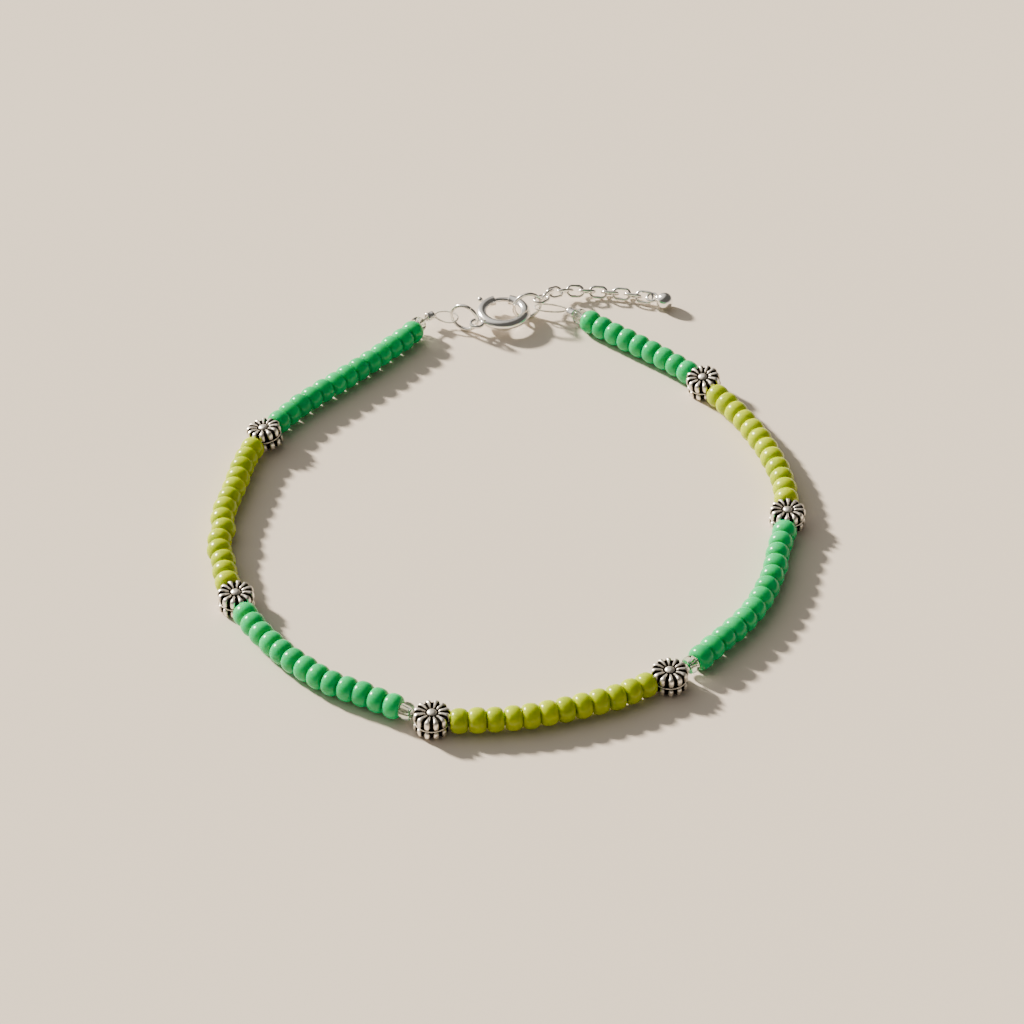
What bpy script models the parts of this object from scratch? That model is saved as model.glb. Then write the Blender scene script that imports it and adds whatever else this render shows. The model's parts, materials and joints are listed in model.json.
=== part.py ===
"""Beaded anklet: glass seed beads and daisy spacers on a thread, a spring ring clasp and an extension chain.

Metres, +Z up. The anklet lies on the plane z = 0, with the clasp at the back (+Y), and the origin is
under the middle of its bounding box. The thread's route, the chain's route and the clasp's place are
the only positions chosen by hand. Every other place follows from them and from the sizes below.
"""
import math

import bmesh
import bpy
from mathutils import Matrix, Vector

MM = 0.001

SHARP_ANGLE = 40.0

# Clearances
FIT_GAP = 0.30 * MM
SLIDE_GAP = 0.20 * MM
HOOK_GAP = 0.40 * MM
SEAT_OVERLAP = 0.12 * MM

# Thread
THREAD_DIAMETER = 0.32 * MM
THREAD_SIDES = 6
THREAD_STEP = 1.50 * MM
THREAD_HEIGHT_AT_CRIMP = 1.50 * MM
LOOP_WIDTH = 2.10 * MM
LOOP_STEPS = 22
LOOP_TAPER = 0.30
LEFT_LOOP_ROLL = 25.0
RIGHT_LOOP_ROLL = 0.0

# Seed beads
BEAD_DIAMETER = 3.20 * MM
BEAD_SIDES = 10
BEAD_VARIATION = 0.025
BEAD_RHYTHM = 2.4

# Clear beads and crimps
CLEAR_DIAMETER = 2.30 * MM
CLEAR_LENGTH = 1.50 * MM
CLEAR_HOLE = 0.92 * MM
CRIMP_DIAMETER = 1.40 * MM
CRIMP_LENGTH = 1.20 * MM
CRIMP_HOLE = 0.80 * MM
SMALL_BEAD_SIDES = 12

# Daisy spacers
DAISY_DIAMETER = 4.70 * MM
DAISY_THICKNESS = 3.00 * MM
DAISY_PETALS = 12
DAISY_GROOVE_DEPTH = 0.34 * MM
DAISY_HOLE = 0.92 * MM
DAISY_HOLE_SIDES = 12

# Spring ring clasp
CLASP_DIAMETER = 7.60 * MM
CLASP_TUBE = 1.50 * MM
CLASP_HEIGHT = 1.70 * MM
CLASP_CENTRE = Vector((-0.60 * MM, 38.90 * MM, CLASP_HEIGHT))
CLASP_SIDES = 12
CLASP_STEP = 10.0
CLASP_GAP_START = 75.0
CLASP_GAP_ANGLE = 40.0
CLASP_CHANNEL = 1.10 * MM
EYE_ANGLE = 215.0
EYE_HOLE = 1.20 * MM
EYE_WIRE = 0.50 * MM
EYE_SIDES = 10
HOOK_ANGLE = 15.0
BOLT_DIAMETER = CLASP_CHANNEL - 2 * SLIDE_GAP
BOLT_TRAVEL = 40.0
BOLT_REACH = 4.0
BOLT_TAIL = 11.0
KNOB_ANGLE = 138.0
KNOB_DIAMETER = 0.85 * MM
KNOB_STEM = 0.34 * MM

# Jump rings
JUMP_DIAMETER = 4.40 * MM
JUMP_WIRE = 0.50 * MM
JUMP_STEPS = 18
WIRE_SIDES = 6

# Extension chain
LINK_LENGTH = 2.80 * MM
LINK_WIDTH = 1.90 * MM
LINK_WIRE = 0.40 * MM
LINK_COUNT = 11
LINK_SIDES = 5
LINK_STEPS = 14
LINK_SLACK = 0.34 * MM
LINK_TWIST = 15.0
LINK_TWIST_LIMIT = 45.0
LINK_LIFT_IN_RING = 0.60 * MM
LOOP_DROP_IN_RING = 0.60 * MM
BALL_DIAMETER = 2.40 * MM
BALL_SIDES = 12
BALL_EYE_HOLE = 1.00 * MM

# The thread's route, from the left crimp round the front to the right crimp. A daisy or a crimp sits
# at each named point. Columns: name, x and y in millimetres.
THREAD_ROUTE = (
    ("crimp_left", -10.1, 38.7),
    ("", -11.3, 37.7),
    ("", -12.6, 35.9),
    ("", -13.6, 33.8),
    ("", -16.2, 30.7),
    ("", -19.3, 27.1),
    ("", -22.4, 23.8),
    ("", -25.5, 20.6),
    ("", -28.6, 17.1),
    ("daisy_1", -32.4, 11.45),
    ("", -34.1, 7.9),
    ("", -35.2, 3.2),
    ("", -36.1, -1.5),
    ("", -36.8, -5.2),
    ("", -36.5, -8.4),
    ("", -37.0, -11.1),
    ("", -36.2, -13.8),
    ("", -35.5, -17.6),
    ("daisy_2", -34.0, -21.4),
    ("", -31.7, -26.0),
    ("", -28.6, -30.3),
    ("", -25.0, -34.0),
    ("", -21.2, -37.0),
    ("", -17.4, -38.9),
    ("", -13.2, -41.2),
    ("daisy_3", -9.0, -43.2),
    ("", -4.8, -43.5),
    ("", 0.4, -43.1),
    ("", 5.2, -42.1),
    ("", 9.6, -40.7),
    ("", 13.6, -39.2),
    ("", 16.8, -37.3),
    ("daisy_4", 19.8, -35.7),
    ("", 23.4, -32.7),
    ("", 26.5, -29.1),
    ("", 29.5, -25.5),
    ("", 32.1, -20.9),
    ("", 33.9, -15.8),
    ("", 34.6, -12.2),
    ("", 35.6, -8.6),
    ("daisy_5", 36.2, -5.3),
    ("", 36.3, -1.4),
    ("", 36.0, 2.2),
    ("", 35.1, 6.2),
    ("", 33.8, 10.0),
    ("", 32.1, 13.9),
    ("", 30.0, 17.6),
    ("", 28.3, 20.2),
    ("daisy_6", 26.7, 22.7),
    ("", 24.5, 25.4),
    ("", 21.0, 28.8),
    ("", 17.6, 31.7),
    ("", 14.3, 34.4),
    ("", 10.9, 37.3),
    ("crimp_right", 8.2, 39.8),
)

# The extension chain's route after the right jump ring. Columns: x, y and z in millimetres.
CHAIN_ROUTE = (
    (6.6, 43.1, 2.1),
    (9.5, 44.5, 1.3),
    (12.8, 44.8, 0.9),
    (15.9, 44.4, 0.9),
    (18.1, 43.9, 0.9),
    (20.3, 43.2, 1.0),
    (22.6, 41.9, 1.2),
)

# The strings of seed beads. Columns: node, glass, number of beads, where they run from and to, and
# at which end a clear bead sits.
STRINGS = (
    ("green_string_1", "green", 13, "crimp_left", "daisy_1", "start"),
    ("chartreuse_string_1", "chartreuse", 14, "daisy_1", "daisy_2", ""),
    ("green_string_2", "green", 13, "daisy_2", "daisy_3", "end"),
    ("chartreuse_string_2", "chartreuse", 12, "daisy_3", "daisy_4", ""),
    ("green_string_3", "green", 13, "daisy_4", "daisy_5", "start"),
    ("chartreuse_string_3", "chartreuse", 12, "daisy_5", "daisy_6", ""),
    ("green_string_4", "green", 9, "daisy_6", "crimp_right", "end"),
)

# Thread left bare between a crimp and its clear bead
BARE_THREAD = {"crimp_left": 1.20 * MM, "crimp_right": 0.30 * MM}

# How far a daisy leans out of the loop, in degrees
DAISY_LEAN = {"daisy_1": 10.0, "daisy_6": -12.0}

# A seed bead's rings. Columns: place along the bead's length, and radius, as a share of the bead's.
BEAD_PROFILE = ((-0.24, 1.0), (0.24, 1.0))
BEAD_NECK = 0.58

# Half of a daisy from its button outwards. Columns: radius and height as shares of the half sizes,
# and how much of the groove's depth is cut inwards and downwards between the petals.
DAISY_PROFILE = (
    (0.19, 1.00, 0.0, 0.0),
    (0.29, 0.82, 0.0, 0.3),
    (0.62, 0.96, 0.0, 1.0),
    (0.91, 0.80, 0.6, 0.8),
    (0.99, 0.28, 1.0, 0.0),
)
DAISY_WAIST = (0.92, 0.0, 0.4, 0.0)

# A turned bead's outside. Columns: place along its length, and radius, as a share of the bead's.
CLEAR_PROFILE = ((-0.5, 0.62), (-0.30, 0.94), (0.0, 1.0), (0.30, 0.94), (0.5, 0.62))
CRIMP_PROFILE = ((-0.5, 0.80), (-0.25, 0.98), (0.25, 0.98), (0.5, 0.80))

COLOURS = {
    "green": ((0.010, 0.300, 0.075), 0.12, 0.0),
    "chartreuse": ((0.420, 0.480, 0.004), 0.12, 0.0),
    "clear": ((0.80, 0.82, 0.80), 0.05, 0.0),
    "antique_silver": ((0.55, 0.54, 0.50), 0.35, 1.0),
    "silver_plate": ((0.85, 0.84, 0.82), 0.15, 1.0),
}

UP = Vector((0.0, 0.0, 1.0))


class Route:
    """A smooth curve through chosen points, read by the length along it."""

    STEPS = 16

    def __init__(self, points):
        self.knots = []
        self.samples = []
        self.lengths = []
        padded = [2 * points[0] - points[1], *points, 2 * points[-1] - points[-2]]
        for a, b, c, d in zip(padded, padded[1:], padded[2:], padded[3:]):
            self.knots.append(len(self.samples))
            for step in range(self.STEPS):
                self._add(self._between(a, b, c, d, step / self.STEPS))
        self.knots.append(len(self.samples))
        self._add(points[-1].copy())

    @staticmethod
    def _between(a, b, c, d, t):
        slope_b = (c - a) / 2
        slope_c = (d - b) / 2
        square, cube = t * t, t * t * t
        return (
            (2 * cube - 3 * square + 1) * b
            + (cube - 2 * square + t) * slope_b
            + (3 * square - 2 * cube) * c
            + (cube - square) * slope_c
        )

    def _add(self, point):
        if self.samples:
            self.lengths.append(self.lengths[-1] + (point - self.samples[-1]).length)
        else:
            self.lengths.append(0.0)
        self.samples.append(point)

    def knot_length(self, index):
        return self.lengths[self.knots[index]]

    def at(self, length):
        """The point at a length along the curve, which runs on straight past its ends."""
        last = len(self.samples) - 2
        index = 0
        while index < last and self.lengths[index + 1] < length:
            index += 1
        span = self.lengths[index + 1] - self.lengths[index]
        share = (length - self.lengths[index]) / span
        return self.samples[index].lerp(self.samples[index + 1], share)

    def heading(self, length, reach=0.5 * MM):
        return (self.at(length + reach) - self.at(length - reach)).normalized()


def make_material(name):
    colour, roughness, metallic = COLOURS[name]
    material = bpy.data.materials.new(name)
    material.use_nodes = True
    shader = material.node_tree.nodes["Principled BSDF"]
    shader.inputs["Base Color"].default_value = (*colour, 1.0)
    shader.inputs["Roughness"].default_value = roughness
    shader.inputs["Metallic"].default_value = metallic
    material.diffuse_color = (*colour, 1.0)
    return material


def finished_mesh(name, vertices, faces, material):
    """A smooth mesh with its faces turned outwards."""
    mesh = bpy.data.meshes.new(name)
    mesh.from_pydata(vertices, [], faces)
    form = bmesh.new()
    form.from_mesh(mesh)
    bmesh.ops.recalc_face_normals(form, faces=form.faces)
    form.to_mesh(mesh)
    form.free()
    mesh.materials.append(material)
    mesh.shade_smooth()
    mesh.set_sharp_from_angle(angle=math.radians(SHARP_ANGLE))
    return mesh


def add_object(name, mesh, frame=None):
    item = bpy.data.objects.new(name, mesh)
    bpy.context.scene.collection.objects.link(item)
    if frame:
        item.matrix_world = frame
    return item


def finished_object(name, vertices, faces, material):
    return add_object(name, finished_mesh(name, vertices, faces, material))


def combine(target, tool, operation):
    """Join a tool to the target or cut it away, and keep the tool out of the model."""
    modifier = target.modifiers.new(tool.name, "BOOLEAN")
    modifier.operation = operation
    modifier.solver = "EXACT"
    modifier.object = tool
    tool.hide_render = True
    tool.display_type = "WIRE"


def bridge(rings, closed=False):
    """Vertices and faces of a skin over rings of points, capped unless it closes on itself."""
    sides = len(rings[0])
    vertices = [point for ring in rings for point in ring]
    faces = []
    spans = len(rings) if closed else len(rings) - 1
    for span in range(spans):
        here = span * sides
        there = ((span + 1) % len(rings)) * sides
        for side in range(sides):
            after = (side + 1) % sides
            faces.append((here + side, here + after, there + after, there + side))
    if not closed:
        last = (len(rings) - 1) * sides
        faces.append(tuple(range(sides - 1, -1, -1)))
        faces.append(tuple(range(last, last + sides)))
    return vertices, faces


def section(centre, across, over, radius, sides):
    """A ring of points about a centre, in the plane of two directions."""
    ring = []
    for side in range(sides):
        angle = 2 * math.pi * (side + 0.5) / sides
        ring.append(centre + radius * (math.cos(angle) * across + math.sin(angle) * over))
    return ring


def section_on(route, length, radius, sides):
    heading = route.heading(length)
    across = heading.cross(UP).normalized()
    return section(route.at(length), across, across.cross(heading), radius, sides)


def closed_wire(outline, normal, radius, sides):
    """Rings of a wire along a closed flat outline, given as pairs of a point and its outward direction."""
    return [section(point, outward, normal, radius, sides) for point, outward in outline]


def circle_outline(centre, first, second, radius, steps):
    outline = []
    for step in range(steps):
        angle = 2 * math.pi * step / steps
        outward = math.cos(angle) * first + math.sin(angle) * second
        outline.append((centre + radius * outward, outward))
    return outline


def link_outline(centre, along, across, length, width, steps):
    """The middle line of an oval link: two half circles joined by straight sides."""
    end_radius = width / 2
    straight = length / 2 - end_radius
    outline = []
    for half in (1, -1):
        for step in range(steps // 2):
            angle = math.pi * (step / (steps // 2 - 1) - 0.5)
            outward = half * (math.cos(angle) * along + math.sin(angle) * across)
            outline.append((centre + half * straight * along + end_radius * outward, outward))
    return outline


def placed(origin, along, up=UP):
    """The matrix of a piece whose X runs along a direction and whose Z keeps close to up."""
    along = along.normalized()
    across = up.cross(along).normalized()
    over = along.cross(across)
    frame = Matrix((along, across, over)).transposed().to_4x4()
    frame.translation = origin
    return frame


def turned_about(direction, degrees):
    """The up direction after a piece is rolled about the direction that it runs in."""
    return Matrix.Rotation(math.radians(degrees), 3, direction) @ UP


def polar(angle):
    radians = math.radians(angle)
    return Vector((math.cos(radians), math.sin(radians), 0.0))


def daisy_points():
    """Radius, height and groove of each ring of a daisy, from the top button to the bottom one."""
    radius = DAISY_DIAMETER / 2
    half = DAISY_THICKNESS / 2
    upper = [(r * radius, h * half, inward, down) for r, h, inward, down in DAISY_PROFILE]
    waist = (DAISY_WAIST[0] * radius, DAISY_WAIST[1], DAISY_WAIST[2], DAISY_WAIST[3])
    lower = [(r, -h, inward, down) for r, h, inward, down in reversed(upper)]
    return [*upper, waist, *lower]


def daisy_rest_height(lean):
    """How high the middle of a daisy lies when it leans about the thread and touches the floor."""
    tilt = math.radians(abs(lean))
    return max(r * math.sin(tilt) + h * math.cos(tilt) for r, h, _, _ in daisy_points())


def daisy_mesh(material):
    """A daisy spacer: two faces of petals back to back, each round a button, with a waist between."""
    rings = []
    for radius, height, inward, down in daisy_points():
        ring = []
        for side in range(2 * DAISY_PETALS):
            angle = math.pi * side / DAISY_PETALS
            groove = DAISY_GROOVE_DEPTH if side % 2 else 0.0
            reach = radius - groove * inward
            level = height - math.copysign(groove * down, height)
            ring.append(Vector((reach * math.cos(angle), reach * math.sin(angle), level)))
        rings.append(ring)
    return finished_mesh("daisy", *bridge(rings), material)


def turned_mesh(name, profile, length, diameter, hole, material):
    """A bead turned about X, with a round hole through it."""
    outer = [(place * length, share * diameter / 2) for place, share in profile]
    inner = [(outer[-1][0], hole / 2), (outer[0][0], hole / 2)]
    rings = []
    for place, radius in outer + inner:
        centre = Vector((place, 0.0, 0.0))
        rings.append(section(centre, Vector((0.0, 1.0, 0.0)), UP, radius, SMALL_BEAD_SIDES))
    return finished_mesh(name, *bridge(rings, closed=True), material)


def link_mesh(material):
    x, y = Vector((1.0, 0.0, 0.0)), Vector((0.0, 1.0, 0.0))
    outline = link_outline(Vector(), x, y, LINK_LENGTH - LINK_WIRE, LINK_WIDTH - LINK_WIRE, LINK_STEPS)
    rings = closed_wire(outline, UP, LINK_WIRE / 2, LINK_SIDES)
    return finished_mesh("chain_link", *bridge(rings, closed=True), material)


def jump_ring_mesh(material):
    """A ring that stands on its edge in the XZ plane."""
    x = Vector((1.0, 0.0, 0.0))
    outline = circle_outline(Vector(), x, UP, (JUMP_DIAMETER - JUMP_WIRE) / 2, JUMP_STEPS)
    rings = closed_wire(outline, Vector((0.0, 1.0, 0.0)), JUMP_WIRE / 2, WIRE_SIDES)
    return finished_mesh("jump_ring", *bridge(rings, closed=True), material)


def loop_rings(tip, far_end, roll):
    """The thread's loop: an egg-shaped ring of wire, narrow where it leaves the crimp."""
    along = (far_end - tip).normalized()
    normal = turned_about(along, roll)
    across = normal.cross(along).normalized()
    normal = along.cross(across)
    length = (far_end - tip).length
    half_width = (LOOP_WIDTH - THREAD_DIAMETER) / 2
    points = []
    for step in range(LOOP_STEPS):
        angle = 2 * math.pi * step / LOOP_STEPS
        taper = 1 - LOOP_TAPER * math.cos(angle / 2) ** 2
        forward = length * (1 - math.cos(angle)) / 2
        aside = half_width * math.sin(angle) * taper
        points.append(tip + forward * along + aside * across)
    outline = []
    for step, point in enumerate(points):
        heading = points[(step + 1) % LOOP_STEPS] - points[step - 1]
        outline.append((point, heading.cross(normal).normalized()))
    return closed_wire(outline, normal, THREAD_DIAMETER / 2, THREAD_SIDES)


def stepped(start, end):
    """Lengths from start to end, close enough together for the thread to follow its route."""
    steps = math.ceil((end - start) / THREAD_STEP)
    return [start + (end - start) * step / steps for step in range(steps + 1)]


def string_rings(route, start, end, first, last, count):
    """Rings of a string of beads: thread from start to first, beads up to last, and thread to the end."""
    pitch = (last - first) / count
    neck = BEAD_NECK * BEAD_DIAMETER / 2
    thread = THREAD_DIAMETER / 2
    plan = [(length, thread) for length in stepped(start, first)]
    plan.append((first, neck))
    for bead in range(count):
        centre = first + (bead + 0.5) * pitch
        swell = 1 - BEAD_VARIATION * (0.5 + 0.5 * math.sin(BEAD_RHYTHM * bead))
        radius = swell * BEAD_DIAMETER / 2
        for place, share in BEAD_PROFILE:
            plan.append((centre + place * pitch, share * radius))
        plan.append((centre + pitch / 2, neck))
    plan += [(length, thread) for length in stepped(last, end)]
    return [section_on(route, length, radius, BEAD_SIDES) for length, radius in plan]


def arc_rings(radius, tube_radius, sides, start, end):
    """Rings of a round bar bent about the clasp's middle, from one angle to another."""
    steps = max(2, math.ceil(abs(end - start) / CLASP_STEP))
    rings = []
    for step in range(steps + 1):
        outward = polar(start + (end - start) * step / steps)
        rings.append(section(radius * outward, outward, UP, tube_radius, sides))
    return rings


def block_rings(inner, outer, half_height, start, end):
    """Rings of a bent block about the clasp's middle, from one angle and radius to another."""
    steps = max(2, math.ceil(abs(end - start) / CLASP_STEP))
    rings = []
    for step in range(steps + 1):
        outward = polar(start + (end - start) * step / steps)
        corners = ((inner, -half_height), (outer, -half_height), (outer, half_height), (inner, half_height))
        rings.append([radius * outward + height * UP for radius, height in corners])
    return rings


def ball_rings(centre, along, radius, sides):
    """Rings of a ball from pole to pole, with small flat caps, about an axis."""
    across = UP.cross(along).normalized()
    over = along.cross(across)
    bands = sides // 2 + 1
    rings = []
    for band in range(bands + 1):
        angle = math.pi * (band + 0.5) / (bands + 1)
        middle = centre - radius * math.cos(angle) * along
        rings.append(section(middle, across, over, radius * math.sin(angle), sides))
    return rings


def add_clasp(metal):
    """The ring of the clasp: a hollow round tube with a gap, a slot for the knob and a flat eye."""
    middle = (CLASP_DIAMETER - CLASP_TUBE) / 2
    clearance = math.degrees(SLIDE_GAP / middle)
    gap_end = CLASP_GAP_START + CLASP_GAP_ANGLE
    slot_margin = math.degrees((KNOB_STEM / 2 + SLIDE_GAP) / middle)
    knob_open = KNOB_ANGLE + BOLT_TRAVEL
    tube = arc_rings(middle, CLASP_TUBE / 2, CLASP_SIDES, gap_end, CLASP_GAP_START + 360.0)
    ring = finished_object("clasp_ring", *bridge(tube), metal)
    channel_end = knob_open + BOLT_TAIL + clearance
    channel = arc_rings(middle, CLASP_CHANNEL / 2, CLASP_SIDES, gap_end - clearance, channel_end)
    pocket_end = CLASP_GAP_START - BOLT_REACH - clearance
    pocket = arc_rings(middle, CLASP_CHANNEL / 2, CLASP_SIDES, pocket_end, CLASP_GAP_START + clearance)
    slot_ends = (KNOB_ANGLE - slot_margin, knob_open + slot_margin)
    slot = block_rings(middle, middle + CLASP_TUBE, KNOB_STEM / 2 + SLIDE_GAP, *slot_ends)
    outward = polar(EYE_ANGLE)
    eye_radius = (EYE_HOLE + EYE_WIRE) / 2
    eye_outline = circle_outline(eye_reach() * outward, outward, polar(EYE_ANGLE + 90.0), eye_radius, JUMP_STEPS)
    eye = closed_wire(eye_outline, UP, EYE_WIRE / 2, EYE_SIDES)
    tools = (
        ("clasp_eye", bridge(eye, closed=True), "UNION"),
        ("clasp_channel", bridge(channel), "DIFFERENCE"),
        ("clasp_pocket", bridge(pocket), "DIFFERENCE"),
        ("clasp_slot", bridge(slot), "DIFFERENCE"),
    )
    for name, shape, operation in tools:
        tool = finished_object(name, *shape, metal)
        tool.location = CLASP_CENTRE
        combine(ring, tool, operation)
    ring.location = CLASP_CENTRE
    return ring


def eye_reach():
    """How far the middle of the clasp's eye is from the middle of the clasp."""
    return CLASP_DIAMETER / 2 + EYE_HOLE / 2 + SEAT_OVERLAP


def add_bolt(metal):
    """The sliding bolt that closes the clasp's gap, with its knob. Its origin is the clasp's middle."""
    middle = (CLASP_DIAMETER - CLASP_TUBE) / 2
    bar = arc_rings(middle, BOLT_DIAMETER / 2, CLASP_SIDES, CLASP_GAP_START - BOLT_REACH, KNOB_ANGLE + BOLT_TAIL)
    bolt = finished_object("clasp_bolt", *bridge(bar), metal)
    outward = polar(KNOB_ANGLE)
    sideways = polar(KNOB_ANGLE + 90.0)
    knob_reach = CLASP_DIAMETER / 2 + SLIDE_GAP + KNOB_DIAMETER / 2
    stem = [section(reach * outward, sideways, UP, KNOB_STEM / 2, EYE_SIDES) for reach in (middle, knob_reach)]
    knob = ball_rings(knob_reach * outward, outward, KNOB_DIAMETER / 2, SMALL_BEAD_SIDES)
    for name, rings in (("bolt_stem", stem), ("bolt_knob", knob)):
        tool = finished_object(name, *bridge(rings), metal)
        tool.location = CLASP_CENTRE
        combine(bolt, tool, "UNION")
    bolt.location = CLASP_CENTRE
    return bolt


def ring_offset(height):
    """How far from a jump ring's middle, along the floor, its wire is at a height above that middle."""
    middle = (JUMP_DIAMETER - JUMP_WIRE) / 2
    return math.sqrt(middle**2 - height**2)


def right_ring_centre():
    """The right ring hangs on the clasp's tube and touches the floor."""
    height = JUMP_DIAMETER / 2
    drop = height - CLASP_CENTRE.z
    free = JUMP_DIAMETER / 2 - JUMP_WIRE - CLASP_TUBE / 2 - FIT_GAP
    aside = math.sqrt(max(free**2 - drop**2, 0.0))
    centre = CLASP_CENTRE + ((CLASP_DIAMETER - CLASP_TUBE) / 2 + aside) * polar(HOOK_ANGLE)
    centre.z = height
    return centre


def left_facing(crimp_tip):
    """The way from the clasp's eye towards the left crimp, along the floor."""
    facing = crimp_tip - CLASP_CENTRE - eye_reach() * polar(EYE_ANGLE)
    facing.z = 0.0
    return facing.normalized()


def left_ring_centre(direction):
    """The left ring passes through the middle of the clasp's eye and touches the floor."""
    height = JUMP_DIAMETER / 2
    centre = CLASP_CENTRE + eye_reach() * polar(EYE_ANGLE)
    centre += ring_offset(height - CLASP_CENTRE.z) * direction
    centre.z = height
    return centre


def thread_route():
    """The thread's route through the beads, and the length along it at which each named piece sits."""
    points = []
    for name, x, y in THREAD_ROUTE:
        height = BEAD_DIAMETER / 2
        if name.startswith("daisy"):
            height = daisy_rest_height(DAISY_LEAN.get(name, 0.0))
        elif name.startswith("crimp"):
            height = THREAD_HEIGHT_AT_CRIMP
        points.append(Vector((x * MM, y * MM, height)))
    route = Route(points)
    stations = {row[0]: route.knot_length(index) for index, row in enumerate(THREAD_ROUTE) if row[0]}
    return route, stations


def add_string(row, route, stations, materials, clear_mesh, clear_number):
    """A string of seed beads with the thread through it, and the clear bead at its end if it has one."""
    name, glass, count, origin, goal, clear_end = row
    ends = []
    for place, sign in ((origin, 1), (goal, -1)):
        if place.startswith("daisy"):
            thread_end = stations[place] + sign * FIT_GAP
            clear_start = DAISY_DIAMETER / 2 + FIT_GAP
        else:
            thread_end = stations[place]
            clear_start = crimp_start() + CRIMP_LENGTH + BARE_THREAD[place]
        beads_start = clear_start
        if clear_end == ("start" if sign > 0 else "end"):
            middle = stations[place] + sign * (clear_start + CLEAR_LENGTH / 2)
            frame = placed(route.at(middle), route.heading(middle))
            add_object(f"clear_bead_{clear_number}", clear_mesh, frame)
            beads_start += CLEAR_LENGTH + FIT_GAP
        ends.append((thread_end, stations[place] + sign * beads_start))
    (start, first), (end, last) = ends
    rings = string_rings(route, start, end, first, last, count)
    return finished_object(name, *bridge(rings), materials[glass])


def crimp_start():
    """The distance from the tip of a thread loop to its crimp."""
    return THREAD_DIAMETER / 2 + FIT_GAP


def add_crimp(name, mesh, route, station, sign):
    """A crimp round the thread, just inside the tip of its loop. The sign tells which way the beads lie."""
    middle = station + sign * (crimp_start() + CRIMP_LENGTH / 2)
    add_object(name, mesh, placed(route.at(middle), route.heading(middle)))


def add_thread_loop(string, tip, ring_centre, facing, roll):
    """The thread's loop from a crimp round the wire of a jump ring, joined to its string."""
    wire = ring_centre + ring_offset(LOOP_DROP_IN_RING) * facing - LOOP_DROP_IN_RING * UP
    hook = JUMP_WIRE / 2 + HOOK_GAP + THREAD_DIAMETER / 2
    far_end = wire + hook * (wire - tip).normalized()
    skin = bridge(loop_rings(tip, far_end, roll), closed=True)
    loop = finished_object(f"{string.name}_loop", *skin, string.data.materials[0])
    combine(string, loop, "UNION")


def chain_route(ring_centre):
    """The chain's route, hooked round the right jump ring's wire at its start."""
    points = [Vector(row) * MM for row in CHAIN_ROUTE]
    wire = ring_centre + ring_offset(LINK_LIFT_IN_RING) * polar(HOOK_ANGLE) + LINK_LIFT_IN_RING * UP
    hook = JUMP_WIRE / 2 + HOOK_GAP + LINK_WIRE / 2
    return Route([wire - hook * (points[0] - wire).normalized(), *points])


def add_daisies(route, stations, material):
    mesh = daisy_mesh(material)
    x, y = Vector((1.0, 0.0, 0.0)), Vector((0.0, 1.0, 0.0))
    ends = [section(side * DAISY_DIAMETER * x, y, UP, DAISY_HOLE / 2, DAISY_HOLE_SIDES) for side in (-1, 1)]
    bore = finished_mesh("daisy_bore", *bridge(ends), material)
    for name, station in stations.items():
        if not name.startswith("daisy"):
            continue
        heading = route.heading(station, DAISY_DIAMETER / 2)
        heading.z = 0.0
        heading.normalize()
        lean = turned_about(heading, DAISY_LEAN.get(name, 0.0))
        frame = placed(route.at(station), heading, lean)
        daisy = add_object(name, mesh, frame)
        combine(daisy, add_object(f"{name}_bore", bore, frame), "DIFFERENCE")


def add_chain(route, metal):
    """Links alternately flat and on edge, each turned a little more than the last, then the end ball."""
    mesh = link_mesh(metal)
    half = (LINK_LENGTH - LINK_WIRE) / 2
    hooked = LINK_WIRE + LINK_SLACK
    pitch = 2 * half - hooked
    for number in range(LINK_COUNT):
        middle = half + number * pitch
        heading = route.heading(middle, half)
        roll = min(number * LINK_TWIST, LINK_TWIST_LIMIT) + 90.0 * (number % 2)
        frame = placed(route.at(middle), heading, turned_about(heading, roll))
        add_object(f"chain_link_{number + 1:02d}", mesh, frame)
    eye_radius = (BALL_EYE_HOLE + LINK_WIRE) / 2
    eye_middle = middle + half + eye_radius - hooked
    heading = route.heading(eye_middle, eye_radius)
    heading.z = 0.0
    heading.normalize()
    upright = turned_about(heading, LINK_TWIST_LIMIT + 90.0 * LINK_COUNT)
    eye_place = route.at(eye_middle)
    eye_place.z = BALL_DIAMETER / 2
    frame = placed(eye_place, heading, upright)
    x, y = Vector((1.0, 0.0, 0.0)), Vector((0.0, 1.0, 0.0))
    eye = closed_wire(circle_outline(Vector(), x, y, eye_radius, LINK_STEPS), UP, LINK_WIRE / 2, WIRE_SIDES)
    ball_middle = (eye_radius + BALL_DIAMETER / 2) * x
    ball_skin = bridge(ball_rings(ball_middle, x, BALL_DIAMETER / 2, BALL_SIDES))
    ball = finished_object("chain_ball", *ball_skin, metal)
    ball.matrix_world = frame
    ring = add_object("ball_eye", finished_mesh("ball_eye", *bridge(eye, closed=True), metal), frame)
    combine(ball, ring, "UNION")


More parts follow.
